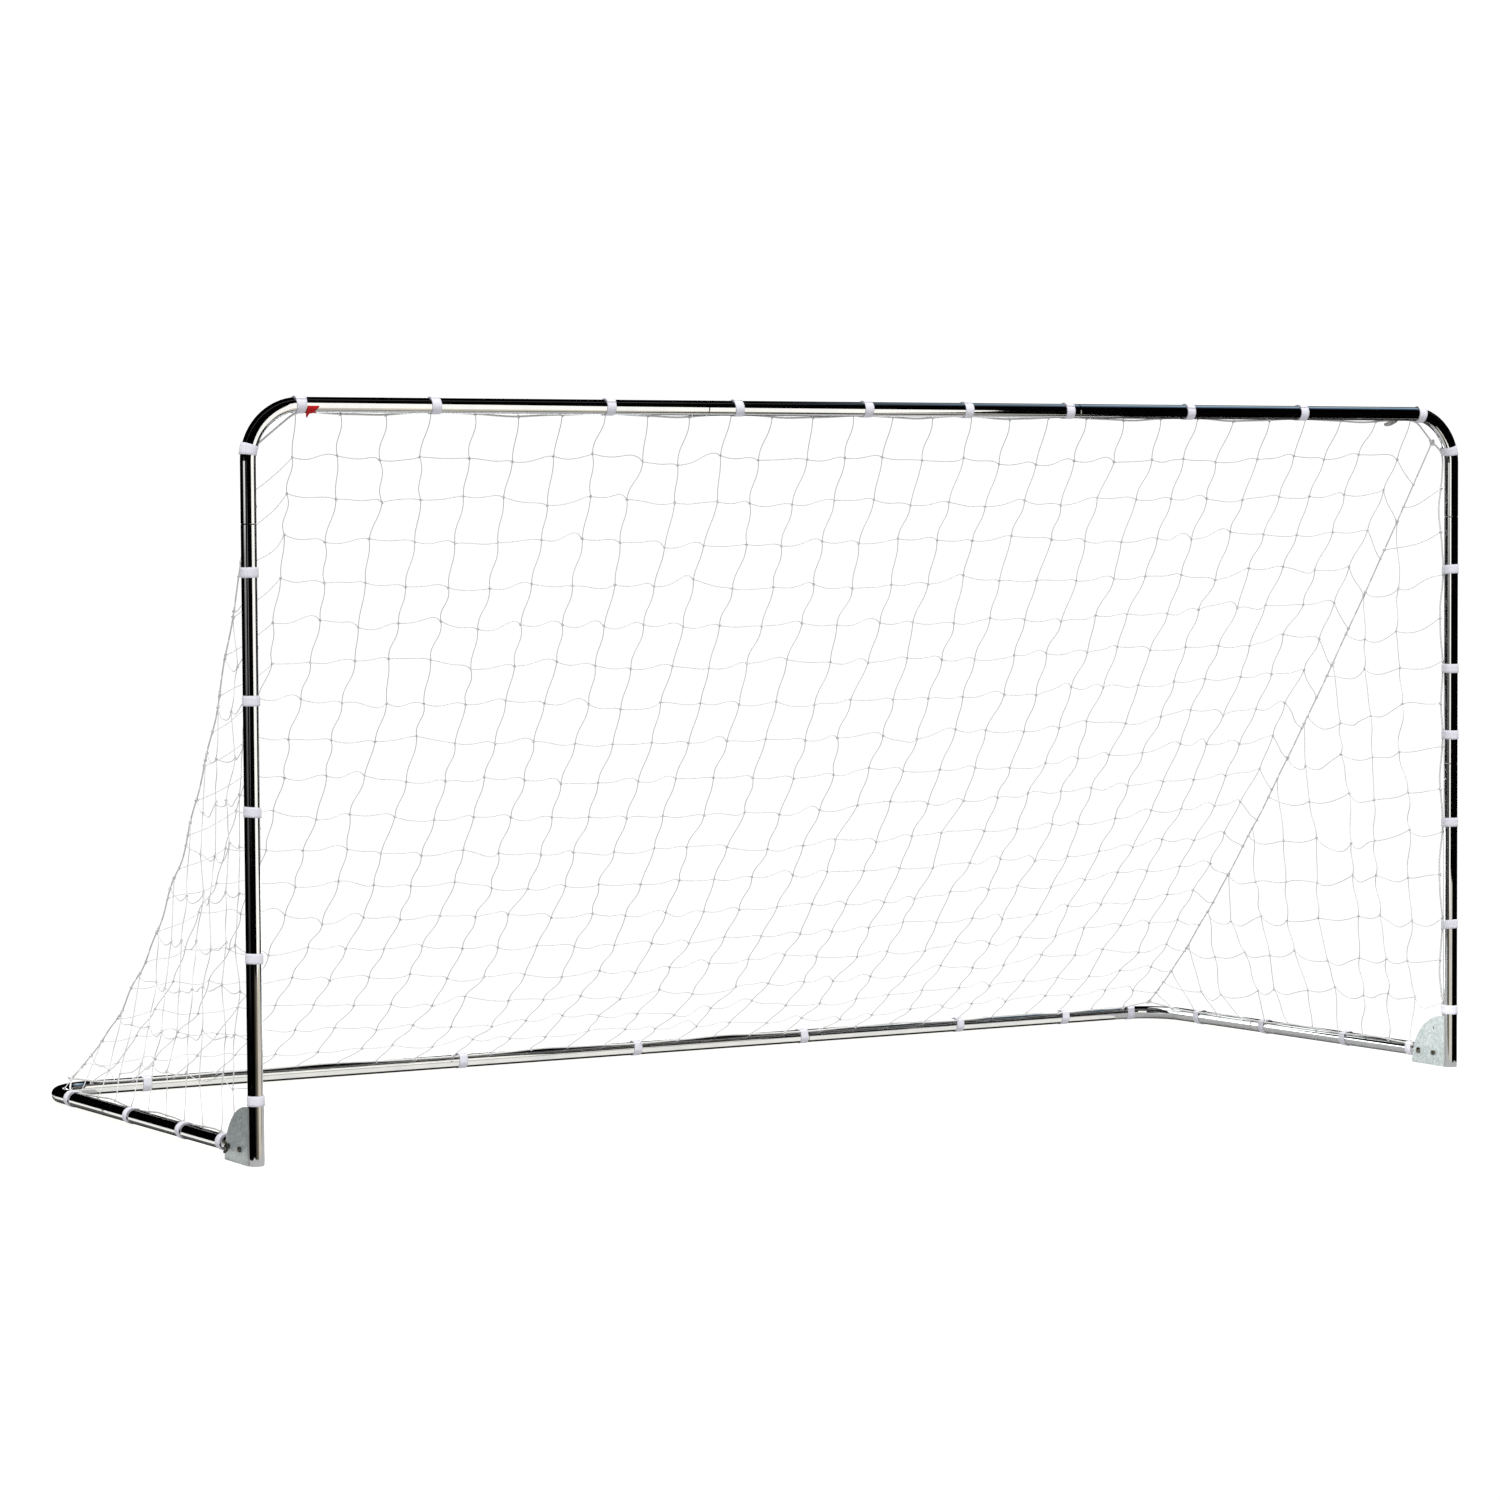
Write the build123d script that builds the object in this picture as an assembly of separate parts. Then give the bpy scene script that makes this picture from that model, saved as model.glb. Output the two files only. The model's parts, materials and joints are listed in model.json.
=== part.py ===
from build123d import *
from math import asin, atan2, cos, degrees, hypot, radians, sin, sqrt
import os

# Folding steel training goal with a slack twine net, 12 ft wide and 6 ft high, in millimetres.
# +X runs along the crossbar, +Y from the goal mouth to the back of the net, +Z up.
# The origin is on the floor, in the middle of the footprint.

# ---- frame ----
WIDTH = 3660.0          # across the outsides of the posts
DEPTH = 1449.0          # from the post axes to the back bar's axis
CROSSBAR_Z = 1827.0     # height of the crossbar's axis
TUBE_OD = 38.1
TUBE_WALL = 1.5
BEND_R = 135.0          # centre-line radius of the four bent corners
POST_X = (WIDTH - TUBE_OD) / 2
POST_Y = -DEPTH / 2
BACK_Y = DEPTH / 2
TUBE_R = TUBE_OD / 2

# ---- where one tube plugs into the next ----
CROSSBAR_SEAM_X = 563.0
UPPER_SEAM_Z = 1543.0
LOWER_SEAM_Z = 851.0
SIDE_SEAM_BACK = 926.0  # behind the post axes
BACK_SEAM_X = 565.0
PLUG_LENGTH = 80.0      # swaged end that goes into the next tube
PLUG_R = 17.45
PLUG_TAPER = 3.0        # swaged neck, just before the seam
BUTTON_INSET = 40.0     # from a seam to its snap button

# ---- fold hinge ----
PIVOT_BACK = 45.0       # hinge bolt behind the post axis
PIVOT_Z = 36.0
BASE_NOSE = 14.0        # base tube in front of the hinge bolt
BASE_FLAT = 0.4         # pressed off each side of the base tube between the plates
BASE_FLAT_LENGTH = 130.0
LOCK_REACH = 70.0       # from the hinge bolt to each lock hole
PLATE_R = 143.0
PLATE_THICKNESS = 3.0
BOLT_R = 4.0            # M8
RUNNING_GAP = 0.08
LOCK_SLOT_GAP = 0.35
FREE_HOLE_R = 4.25
WELD_R = 2.5

# ---- snap buttons and their springs ----
BUTTON_R = 3.95
BUTTON_TOP = 22.0       # button's outer end, from the tube's axis
BUTTON_FOOT = 15.0
CLIP_WIDTH = 7.0
CLIP_THICKNESS = 0.8

# ---- straps, ropes and net ----
STRAP_WIDTH = 25.0
STRAP_THICKNESS = 2.0
STRAP_GAP = 0.1
ROPE_R = 2.5            # border rope, laid in the inside corner of the frame
SEAM_ROPE_R = 2.0
TWINE = 2.4
MESH = 120.0            # side of one square of the net
NET_SETBACK = 6.0       # from the border rope's middle to the net's edge
RIBBON = 1.2            # thickness of the corner tags

PIVOT_Y = POST_Y + PIVOT_BACK
BACK_Z = TUBE_R + STRAP_GAP + STRAP_THICKNESS      # so the back bar's straps touch the floor
BASE_LENGTH = hypot(BACK_Y - PIVOT_Y, PIVOT_Z - BACK_Z)
BASE_TILT = degrees(atan2(PIVOT_Z - BACK_Z, BACK_Y - PIVOT_Y))
ROPE_REACH = TUBE_R + ROPE_R + STRAP_GAP           # tube's axis to rope's middle
ROPE_SHIFT = ROPE_REACH / sqrt(2)                  # the rope lies at 45 degrees
SIDES = {"left": -1, "right": 1}

CROSSBAR_STRAPS_X = [-1678, -1318, -840, -472, -92, 213, 530, 918, 1293, 1700]
POST_STRAPS_Z = {
    "left": [1718, 1426, 1119, 853, 500, 157],
    "right": [1726, 1394, 1118, 934, 688, 401, 162],
}
BACK_STRAPS_X = [-1520, -568, -10, 546, 1088, 1467]
SIDE_STRAPS_BACK = {
    "left": [1230, 807, 451, 190],
    "right": [1205, 871, 476, 168],
}
CORNER_STRAP_ANGLE = 75.0   # round the right rear bend, from the side tube


def lay_down(shape):
    """Tilt a base piece, drawn level with the hinge bolt, until the back bar rests on the floor."""
    return shape.rotate(Axis((0, PIVOT_Y, PIVOT_Z), (1, 0, 0)), -BASE_TILT)


def other_side(shape):
    return mirror(shape, Plane.YZ)


def rod(start, end, radius):
    """Round bar from one point to another."""
    start, end = Vector(*start), Vector(*end)
    plane = Plane(start, z_dir=end - start)
    return extrude(plane * Circle(radius), amount=(end - start).length)


def turned(points):
    """Solid of revolution about Z from (radius, height) points."""
    face = make_face(Plane.XZ * Polyline(*points, close=True))
    return revolve(face, Axis.Z)


# ---- tubes ----
def swaged_outline(length, plug_start, plug_end, inset):
    """Half outline of a tube with swaged ends, all radii less an inset."""
    full, plug = TUBE_R - inset, PLUG_R - inset
    points = []
    if plug_start:
        points += [(0, -PLUG_LENGTH), (plug, -PLUG_LENGTH), (plug, 0), (full, PLUG_TAPER)]
    else:
        points += [(0, 0), (full, 0)]
    if plug_end:
        points += [(full, length - PLUG_TAPER), (plug, length), (plug, length + PLUG_LENGTH)]
        points += [(0, length + PLUG_LENGTH)]
    else:
        points += [(full, length), (0, length)]
    return points


def straight_tube(start, end, plug_start=False, plug_end=False):
    """Straight tube seen from start to end, with plug ends that reach on into its neighbours."""
    start, end = Vector(*start), Vector(*end)
    length = (end - start).length
    solid = turned(swaged_outline(length, plug_start, plug_end, 0))
    hollow = turned(swaged_outline(length, plug_start, plug_end, TUBE_WALL))
    return Plane(start, z_dir=end - start).location * (solid - hollow)


def bent_core(points, radius):
    path = FilletPolyline(*points, radius=BEND_R)
    section = Plane(path @ 0, z_dir=path % 0) * Circle(radius)
    return sweep(section, path)


def bent_tube(points):
    return bent_core(points, TUBE_R) - bent_core(points, TUBE_R - TUBE_WALL)


def elbow_route():
    return [
        (POST_X, POST_Y, UPPER_SEAM_Z),
        (POST_X, POST_Y, CROSSBAR_Z),
        (CROSSBAR_SEAM_X, POST_Y, CROSSBAR_Z),
    ]


def rear_route():
    rear = PIVOT_Y + BASE_LENGTH
    return [
        (POST_X, POST_Y + SIDE_SEAM_BACK, PIVOT_Z),
        (POST_X, rear, PIVOT_Z),
        (BACK_SEAM_X, rear, PIVOT_Z),
    ]


def lock_slot():
    """Curved slot, open below, that lets the base tube lift off the lock bolt."""
    gap = BOLT_R + LOCK_SLOT_GAP
    ring = Circle(LOCK_REACH + gap) - Circle(LOCK_REACH - gap)
    below = Pos(LOCK_REACH, -TUBE_OD) * Rectangle(TUBE_OD, 2 * TUBE_OD)
    slot = (ring & below) + Pos(LOCK_REACH, 0) * Circle(gap)
    side_on = Plane((POST_X, PIVOT_Y, PIVOT_Z), x_dir=(0, 1, 0), z_dir=(1, 0, 0))
    return extrude(side_on * slot, amount=TUBE_OD, both=True)


def base_side():
    """Side tube of the base: flat-sided and drilled at the hinge, plugged at the rear."""
    nose = (POST_X, PIVOT_Y - BASE_NOSE, PIVOT_Z)
    seam = (POST_X, POST_Y + SIDE_SEAM_BACK, PIVOT_Z)
    tube = straight_tube(nose, seam, plug_end=True)
    for face in (-1, 1):
        flat = Box(TUBE_OD, BASE_FLAT_LENGTH + BASE_NOSE, TUBE_OD)
        middle = PIVOT_Y + (BASE_FLAT_LENGTH - BASE_NOSE) / 2
        tube -= Pos(POST_X + face * (TUBE_OD - BASE_FLAT), middle, PIVOT_Z) * flat
    tube -= across_hinge(0, 0, BOLT_R + RUNNING_GAP)
    return tube - lock_slot()


# ---- hinge brackets and bolts ----
def across_hinge(back, up, radius):
    """Cutter along X through the hinge, measured from the hinge bolt."""
    at = (PIVOT_Y + back, PIVOT_Z + up)
    return rod((POST_X - TUBE_OD, *at), (POST_X + TUBE_OD, *at), radius)


def lock_point(angle):
    """Lock hole's place behind and above the hinge bolt, for a base raised by an angle."""
    raised = radians(angle - BASE_TILT)
    return LOCK_REACH * cos(raised), LOCK_REACH * sin(raised)


def hinge_plate(face):
    """Quarter-round plate against one side of the post: face 1 is outside, -1 inside."""
    side_on = Plane((POST_X, POST_Y, 0), x_dir=(0, 1, 0), z_dir=(1, 0, 0))
    quarter = Circle(PLATE_R) & Rectangle(PLATE_R, PLATE_R, align=(Align.MIN, Align.MIN))
    plate = extrude(side_on * quarter, amount=PLATE_THICKNESS)
    start = TUBE_R if face > 0 else -TUBE_R - PLATE_THICKNESS
    plate = Pos(start, 0, 0) * plate
    plate -= across_hinge(0, 0, BOLT_R + RUNNING_GAP)
    plate -= across_hinge(*lock_point(0), BOLT_R + RUNNING_GAP)
    return plate - across_hinge(*lock_point(90), FREE_HOLE_R)


def weld_bead(face):
    """Bead that joins a hinge plate's front edge to the post."""
    x = POST_X + face * (TUBE_R + 0.5)
    bead = rod((x, POST_Y, 8), (x, POST_Y, PLATE_R - 8), WELD_R)
    post = rod((POST_X, POST_Y, 0), (POST_X, POST_Y, PLATE_R), TUBE_R)
    return bead - post - hinge_plate(face)


def hexagon(across_flats, height):
    return extrude(RegularPolygon(across_flats / 2, 6, major_radius=False), amount=height)


def along_x(piece, x, back, up, direction):
    """Place a piece modelled along +Z so that it points along +X or -X beside the hinge."""
    at = Plane((x, PIVOT_Y + back, PIVOT_Z + up), x_dir=(0, 1, 0), z_dir=(direction, 0, 0))
    return at.location * piece


OUTER_FACE = TUBE_R + PLATE_THICKNESS   # plate's outside, from the post's axis
HEX_ACROSS = 13.0
HEAD_HEIGHT = 5.3
NUT_HEIGHT = 6.5
SHANK_PAST_NUT = 3.0
WING_HUB = 9.0
WING_TURN = 70.0                        # wings' turn from level when screwed tight, degrees
HEAD_GAP = 0.2                          # bolt and nut faces off the plates


def pivot_bolt():
    """Hex bolt from the outside of the hinge, under its nut's inner side."""
    grip = 2 * OUTER_FACE + NUT_HEIGHT + SHANK_PAST_NUT
    bolt = hexagon(HEX_ACROSS, HEAD_HEIGHT) + Pos(0, 0, -grip) * Cylinder(
        BOLT_R, grip, align=(Align.CENTER, Align.CENTER, Align.MIN)
    )
    bolt = chamfer(bolt.faces().sort_by(Axis.Z)[0].edges(), 0.8)
    return along_x(bolt, POST_X + OUTER_FACE, 0, 0, 1)


def pivot_nut():
    nut = hexagon(HEX_ACROSS, NUT_HEIGHT)
    nut -= Cylinder(BOLT_R + 0.02, 3 * NUT_HEIGHT)
    return along_x(nut, POST_X - OUTER_FACE, 0, 0, -1)


def lock_bolt():
    """Domed bolt pushed in from inside the goal, with its thread outside."""
    length = 2 * OUTER_FACE + HEAD_GAP + WING_HUB + SHANK_PAST_NUT
    head = turned([(0, 0), (9, 0), (9, -1.5), (7, -4), (3.5, -5.2), (0, -5.5)])
    shank = Cylinder(BOLT_R, length, align=(Align.CENTER, Align.CENTER, Align.MIN))
    shank = chamfer(shank.faces().sort_by(Axis.Z)[-1].edges(), 0.8)
    return along_x(head + shank, POST_X - OUTER_FACE - HEAD_GAP, *lock_point(0), 1)


def wing_nut():
    """Hub with two raised wings, screwed on the lock bolt's outer end."""
    hub = turned([(0, 0), (7.5, 0), (6.2, WING_HUB), (0, WING_HUB)])
    outline = [(5, 1.5), (12, 5), (16.5, 11), (16.5, 15), (14, 17), (11, 16), (5.5, 8)]
    wing = make_face(Plane.XZ * Polyline(*outline, close=True))
    wing = extrude(wing, amount=1.4, both=True)
    wing = fillet(wing.edges().filter_by(Axis.Y), 1.2)
    nut = hub + wing + mirror(wing, Plane.YZ)
    nut -= Cylinder(BOLT_R + RUNNING_GAP, 4 * WING_HUB)
    return along_x(Rot(0, 0, WING_TURN) * nut, POST_X + OUTER_FACE + HEAD_GAP, *lock_point(0), 1)


# ---- snap buttons ----
def button_seats():
    """Each button's name, its frame, its point on the tube's axis, the way it faces and its plug's way."""
    seats = []
    for side, sign in SIDES.items():
        x = sign * POST_X
        over = sign * (CROSSBAR_SEAM_X + BUTTON_INSET)
        back = sign * (BACK_SEAM_X + BUTTON_INSET)
        rear = PIVOT_Y + BASE_LENGTH
        flank = POST_Y + SIDE_SEAM_BACK + BUTTON_INSET
        upper = UPPER_SEAM_Z + BUTTON_INSET
        lower = LOWER_SEAM_Z - BUTTON_INSET
        seats += [
            (f"button_crossbar_{side}", "front", (over, POST_Y, CROSSBAR_Z), (0, 0, -1), (sign, 0, 0)),
            (f"button_upper_post_{side}", "front", (x, POST_Y, upper), (-sign, 0, 0), (0, 0, 1)),
            (f"button_lower_post_{side}", "front", (x, POST_Y, lower), (-sign, 0, 0), (0, 0, -1)),
            (f"button_back_bar_{side}", "base", (back, rear, PIVOT_Z), (0, -1, 0), (sign, 0, 0)),
            (f"button_side_{side}", "base", (x, flank, PIVOT_Z), (sign, 0, 0), (0, 1, 0)),
        ]
    return seats


def seated(piece, seat, outward, plug_way):
    """Place a piece drawn with the button along +X and the plug's end along +Z."""
    return Plane(seat, x_dir=outward, z_dir=plug_way).location * piece


def button():
    dome = 1.6
    points = [(0, BUTTON_FOOT), (BUTTON_R, BUTTON_FOOT), (BUTTON_R, BUTTON_TOP - dome)]
    points += [(BUTTON_R * 0.72, BUTTON_TOP - dome * 0.3), (0, BUTTON_TOP)]
    return turned(points).rotate(Axis.Y, 90)


def button_hole():
    hole = Cylinder(BUTTON_R + RUNNING_GAP, TUBE_OD, align=(Align.CENTER, Align.CENTER, Align.MIN))
    return hole.rotate(Axis.Y, 90)


def spring_clip():
    """Bent strip inside the plug: one leg carries the button, the other bears on the far wall."""
    near, far = BUTTON_FOOT - CLIP_THICKNESS, 1.3 - PLUG_R + TUBE_WALL
    route = Plane.XZ * Polyline((near, 14), (near, -10), (1, -44), (-2, -44), (far, -4), (far, 10))
    strip = Plane.XZ * trace(Plane.XZ.to_local_coords(route), CLIP_THICKNESS)
    return extrude(strip, amount=CLIP_WIDTH / 2, both=True)


# ---- straps ----
def strap_outline(grow):
    """Outline that hugs the tube and the border rope beside it."""
    tube = Circle(TUBE_R + STRAP_GAP + grow)
    rope = Pos(ROPE_REACH, 0) * Circle(ROPE_R + STRAP_GAP + grow)
    return make_hull(tube.edges() + rope.edges())


def strap(centre, along, bulge):
    """Webbing loop around tube and rope; bulge is the way from the tube to the rope."""
    ring = strap_outline(STRAP_THICKNESS) - strap_outline(0)
    plane = Plane(centre, x_dir=bulge, z_dir=along)
    return extrude(plane * ring, amount=STRAP_WIDTH / 2, both=True)


def front_strap_on_bend(sign, angle):
    """Strap on a top corner; angle 0 is where the post ends and 90 where the crossbar starts."""
    turn = radians(angle)
    reach = POST_X - BEND_R
    centre = (sign * (reach + BEND_R * cos(turn)), POST_Y, CROSSBAR_Z - BEND_R + BEND_R * sin(turn))
    along = (-sign * sin(turn), 0, cos(turn))
    bulge = (-sign * cos(turn), 1, -sin(turn))
    return strap(centre, along, bulge) - top_corner(sign) - front_rope()


def top_corner(sign):
    corner = bent_core(elbow_route(), TUBE_R)
    return corner if sign > 0 else other_side(corner)


def crossbar_straps():
    straps = []
    bend_x = POST_X - BEND_R
    for x in CROSSBAR_STRAPS_X:
        if abs(x) > bend_x:
            turn = 90 - degrees(asin((abs(x) - bend_x) / BEND_R))
            straps.append(front_strap_on_bend(1 if x > 0 else -1, turn))
        else:
            straps.append(strap((x, POST_Y, CROSSBAR_Z), (1, 0, 0), (0, 1, -1)))
    return straps


def post_straps(side):
    straps = []
    sign = SIDES[side]
    bend_z = CROSSBAR_Z - BEND_R
    for z in POST_STRAPS_Z[side]:
        if z > bend_z:
            straps.append(front_strap_on_bend(sign, degrees(asin((z - bend_z) / BEND_R))))
        else:
            straps.append(strap((sign * POST_X, POST_Y, z), (0, 0, 1), (-sign, 1, 0)))
    return straps


def back_straps():
    """Straps along the back bar, with the one on the right rear bend."""
    rear = PIVOT_Y + BASE_LENGTH
    straps = [strap((x, rear, PIVOT_Z), (1, 0, 0), (0, -1, 1)) for x in BACK_STRAPS_X]
    turn = radians(CORNER_STRAP_ANGLE)
    centre = (POST_X - BEND_R + BEND_R * cos(turn), rear - BEND_R + BEND_R * sin(turn), PIVOT_Z)
    corner = strap(centre, (-sin(turn), cos(turn), 0), (-cos(turn), -sin(turn), 1))
    straps.append(corner - bent_core(rear_route(), TUBE_R))
    return [lay_down(piece) for piece in straps]


def side_straps(side):
    sign = SIDES[side]
    places = [(sign * POST_X, POST_Y + back, PIVOT_Z) for back in SIDE_STRAPS_BACK[side]]
    return [lay_down(strap(place, (0, 1, 0), (-sign, 0, 1))) for place in places]


# ---- ropes and net ----
def rope_along(points):
    path = FilletPolyline(*points, radius=BEND_R - ROPE_SHIFT)
    return sweep(Plane(path @ 0, z_dir=path % 0) * Circle(ROPE_R), path)


def front_rope():
    """Border rope up one post, under the crossbar and down the other post."""
    x, y, top = POST_X - ROPE_SHIFT, POST_Y + ROPE_SHIFT, CROSSBAR_Z - ROPE_SHIFT
    foot = PLATE_R + 2.0
    return rope_along([(-x, y, foot), (-x, y, top), (x, y, top), (x, y, foot)])


def base_rope():
    """Border rope along one side of the base, the back bar and the other side."""
    x, z = POST_X - ROPE_SHIFT, PIVOT_Z + ROPE_SHIFT
    front, rear = POST_Y + PLATE_R + 10, PIVOT_Y + BASE_LENGTH - ROPE_SHIFT
    return lay_down(rope_along([(-x, front, z), (-x, rear, z), (x, rear, z), (x, front, z)]))


def net_panel(outline, columns, rows):
    """Flat net in its own plane: a border strand and square meshes, as thick as the twine."""
    edge = make_face(Polyline(*outline, close=True))
    inside = offset(edge, -TWINE, kind=Kind.INTERSECTION)
    size = MESH - TWINE
    low = edge.bounding_box().center()
    cells = Pos(low.X, low.Y) * GridLocations(MESH, MESH, columns, rows)
    holes = Sketch() + [place * Rectangle(size, size) for place in cells]
    return extrude(edge - (inside & holes), amount=TWINE / 2, both=True)


SEAM_X = POST_X - 0.293 * BEND_R                        # middle of each bend, seen square on
SEAM_TOP = (SEAM_X, POST_Y + 24.0, CROSSBAR_Z - 47.0)
SEAM_FOOT = (SEAM_X, BACK_Y - 40.0, BACK_Z + 24.0)
SIDE_NET_X = POST_X - 21.0


def back_net():
    """Sloping panel from the crossbar to the back bar, cut off at its four corners."""
    top = Vector(0, POST_Y + ROPE_SHIFT, CROSSBAR_Z - ROPE_SHIFT)
    foot = Vector(0, BACK_Y - ROPE_SHIFT, BACK_Z + ROPE_SHIFT)
    slope = top - foot
    half = slope.length / 2 - NET_SETBACK
    wide, narrow = SEAM_X - 10.0, POST_X - BEND_R
    clip = 80.0
    right = [(narrow, half), (wide, half - clip), (wide, clip - half), (narrow, -half)]
    left = [(-x, y) for x, y in reversed(right)]
    plane = Plane((top + foot) * 0.5, x_dir=(1, 0, 0), z_dir=slope.cross(Vector(-1, 0, 0)))
    return plane.location * net_panel(right + left, 31, 21)


def side_net():
    """Upright panel between a post, the base's side tube and the seam rope."""
    outline = [
        (POST_Y + ROPE_SHIFT + NET_SETBACK, PLATE_R + 25),
        (POST_Y + PLATE_R + 25, PIVOT_Z + ROPE_SHIFT + NET_SETBACK),
        (SEAM_FOOT[1] - 30, BACK_Z + ROPE_SHIFT + NET_SETBACK),
        (SEAM_TOP[1] + 4, SEAM_TOP[2] - 20),
    ]
    plane = Plane((SIDE_NET_X, 0, 0), x_dir=(0, 1, 0), z_dir=(1, 0, 0))
    return plane.location * net_panel(outline, 15, 17)


def corner_markers():
    """Two ribbon tags beside the border rope, one curled under the crossbar and one that hangs."""
    side_on = Plane((-1646.5, POST_Y, CROSSBAR_Z), x_dir=(0, 1, 0), z_dir=(1, 0, 0))
    band = Circle(TUBE_R + STRAP_GAP + RIBBON) - Circle(TUBE_R + STRAP_GAP)
    front_quarter = Rectangle(TUBE_OD, TUBE_OD, align=(Align.MAX, Align.MAX))
    curled = extrude(side_on * (band & front_quarter), amount=14.5, both=True)
    rope_level = CROSSBAR_Z - ROPE_SHIFT - ROPE_R - STRAP_GAP
    hanging = Box(47.0, RIBBON, 22.0, align=(Align.CENTER, Align.CENTER, Align.MAX))
    return [curled, Pos(1606.5, POST_Y + ROPE_SHIFT, rope_level) * hanging]


# ---- the pieces ----
def drilled(tube, frame):
    """Cut the button holes of one frame out of a tube."""
    for _, owner, seat, outward, plug_way in button_seats():
        if owner == frame:
            tube -= seated(button_hole(), seat, outward, plug_way)
    return tube


def front_tubes():
    y, z = POST_Y, CROSSBAR_Z
    ends = ((-CROSSBAR_SEAM_X, y, z), (CROSSBAR_SEAM_X, y, z))
    right = {
        "top_elbow": bent_tube(elbow_route()),
        "mid_post": straight_tube(
            (POST_X, y, LOWER_SEAM_Z), (POST_X, y, UPPER_SEAM_Z), plug_start=True, plug_end=True
        ),
        "foot_post": straight_tube((POST_X, y, 0), (POST_X, y, LOWER_SEAM_Z)),
    }
    pieces = {"crossbar": drilled(straight_tube(*ends, plug_start=True, plug_end=True), "front")}
    for name, tube in right.items():
        tube = drilled(tube, "front")
        pieces[f"{name}_right"] = tube
        pieces[f"{name}_left"] = other_side(tube)
    return pieces


def base_tubes():
    rear = PIVOT_Y + BASE_LENGTH
    ends = ((-BACK_SEAM_X, rear, PIVOT_Z), (BACK_SEAM_X, rear, PIVOT_Z))
    pieces = {"back_bar": lay_down(drilled(straight_tube(*ends, plug_start=True, plug_end=True), "base"))}
    for name, tube in {"base_side": base_side(), "rear_corner": bent_tube(rear_route())}.items():
        tube = lay_down(drilled(tube, "base"))
        pieces[f"{name}_right"] = tube
        pieces[f"{name}_left"] = other_side(tube)
    return pieces


def hinge_pieces():
    pieces = {}
    for name, face in {"outer": 1, "inner": -1}.items():
        plate = hinge_plate(face)
        pieces[f"hinge_plate_{name}_right"] = plate
        pieces[f"hinge_plate_{name}_left"] = other_side(plate)
    for name, piece in {"lock_bolt": lock_bolt(), "wing_nut": wing_nut()}.items():
        pieces[f"{name}_right"] = piece
        pieces[f"{name}_left"] = other_side(piece)
    beads = [weld_bead(face) for face in (1, -1)]
    pairs = {"pivot_bolts": [pivot_bolt()], "pivot_nuts": [pivot_nut()], "bracket_welds": beads}
    for name, group in pairs.items():
        pieces[name] = group + [other_side(piece) for piece in group]
    return pieces


def button_pieces():
    pieces = {}
    clips = {"front": [], "base": []}
    for name, owner, seat, outward, plug_way in button_seats():
        cap = seated(button(), seat, outward, plug_way)
        clip = seated(spring_clip(), seat, outward, plug_way)
        if owner == "base":
            cap, clip = lay_down(cap), lay_down(clip)
        pieces[name] = cap
        clips[owner].append(clip)
    pieces["front_spring_clips"] = clips["front"]
    pieces["base_spring_clips"] = clips["base"]
    return pieces


def soft_pieces():
    side_panel = side_net()
    seam = rod(SEAM_TOP, SEAM_FOOT, SEAM_ROPE_R)
    pieces = {
        "crossbar_straps": crossbar_straps(),
        "back_bar_straps": back_straps(),
        "border_rope_front": front_rope(),
        "border_rope_base": base_rope(),
        "net_back": back_net(),
        "net_side_right": side_panel,
        "net_side_left": other_side(side_panel),
        "seam_rope_right": seam,
        "seam_rope_left": other_side(seam),
        "corner_markers": corner_markers(),
    }
    for side in SIDES:
        pieces[f"post_straps_{side}"] = post_straps(side)
        pieces[f"side_straps_{side}"] = side_straps(side)
    return pieces


def write(name, piece):
    solids = piece if isinstance(piece, list) else [piece]
    group = Compound(children=[solid for item in solids for solid in item.solids()])
    export_step(group, f"parts/{name}.step")


os.makedirs("parts", exist_ok=True)
for pieces in (front_tubes(), base_tubes(), hinge_pieces(), button_pieces(), soft_pieces()):
    for name, piece in pieces.items():
        write(name, piece)
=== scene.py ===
import bpy
import json
import numpy as np
from math import acos, asin, ceil, cos, pi, radians, sin, sqrt
from mathutils import Matrix, Vector


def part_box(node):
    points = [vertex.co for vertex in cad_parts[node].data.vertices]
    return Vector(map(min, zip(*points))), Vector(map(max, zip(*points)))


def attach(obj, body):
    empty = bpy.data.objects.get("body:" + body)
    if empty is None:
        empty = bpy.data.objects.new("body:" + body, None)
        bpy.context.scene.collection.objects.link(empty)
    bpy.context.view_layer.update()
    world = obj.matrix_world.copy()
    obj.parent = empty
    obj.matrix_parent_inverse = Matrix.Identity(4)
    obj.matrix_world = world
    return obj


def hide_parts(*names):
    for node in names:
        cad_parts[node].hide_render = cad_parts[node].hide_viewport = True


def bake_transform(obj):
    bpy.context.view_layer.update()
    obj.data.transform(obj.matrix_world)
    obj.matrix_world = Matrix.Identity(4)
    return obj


# Looks of the folding soccer goal: polished tubes, webbing straps, laid ropes and a slack knotted net.
# Metres; +X along the crossbar, +Y from the mouth to the back of the net, +Z up.

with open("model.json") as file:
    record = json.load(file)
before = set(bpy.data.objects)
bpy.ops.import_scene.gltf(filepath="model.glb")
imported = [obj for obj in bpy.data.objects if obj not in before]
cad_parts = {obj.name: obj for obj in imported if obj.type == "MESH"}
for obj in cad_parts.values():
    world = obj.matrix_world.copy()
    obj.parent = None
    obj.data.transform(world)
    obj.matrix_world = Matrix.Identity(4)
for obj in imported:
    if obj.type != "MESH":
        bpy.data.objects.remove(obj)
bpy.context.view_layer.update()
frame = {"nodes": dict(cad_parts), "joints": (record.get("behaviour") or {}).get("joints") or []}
nodes = frame["nodes"]
random = np.random.default_rng(12)


def middle(node):
    low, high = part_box(node)
    return (low + high) / 2


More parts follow.
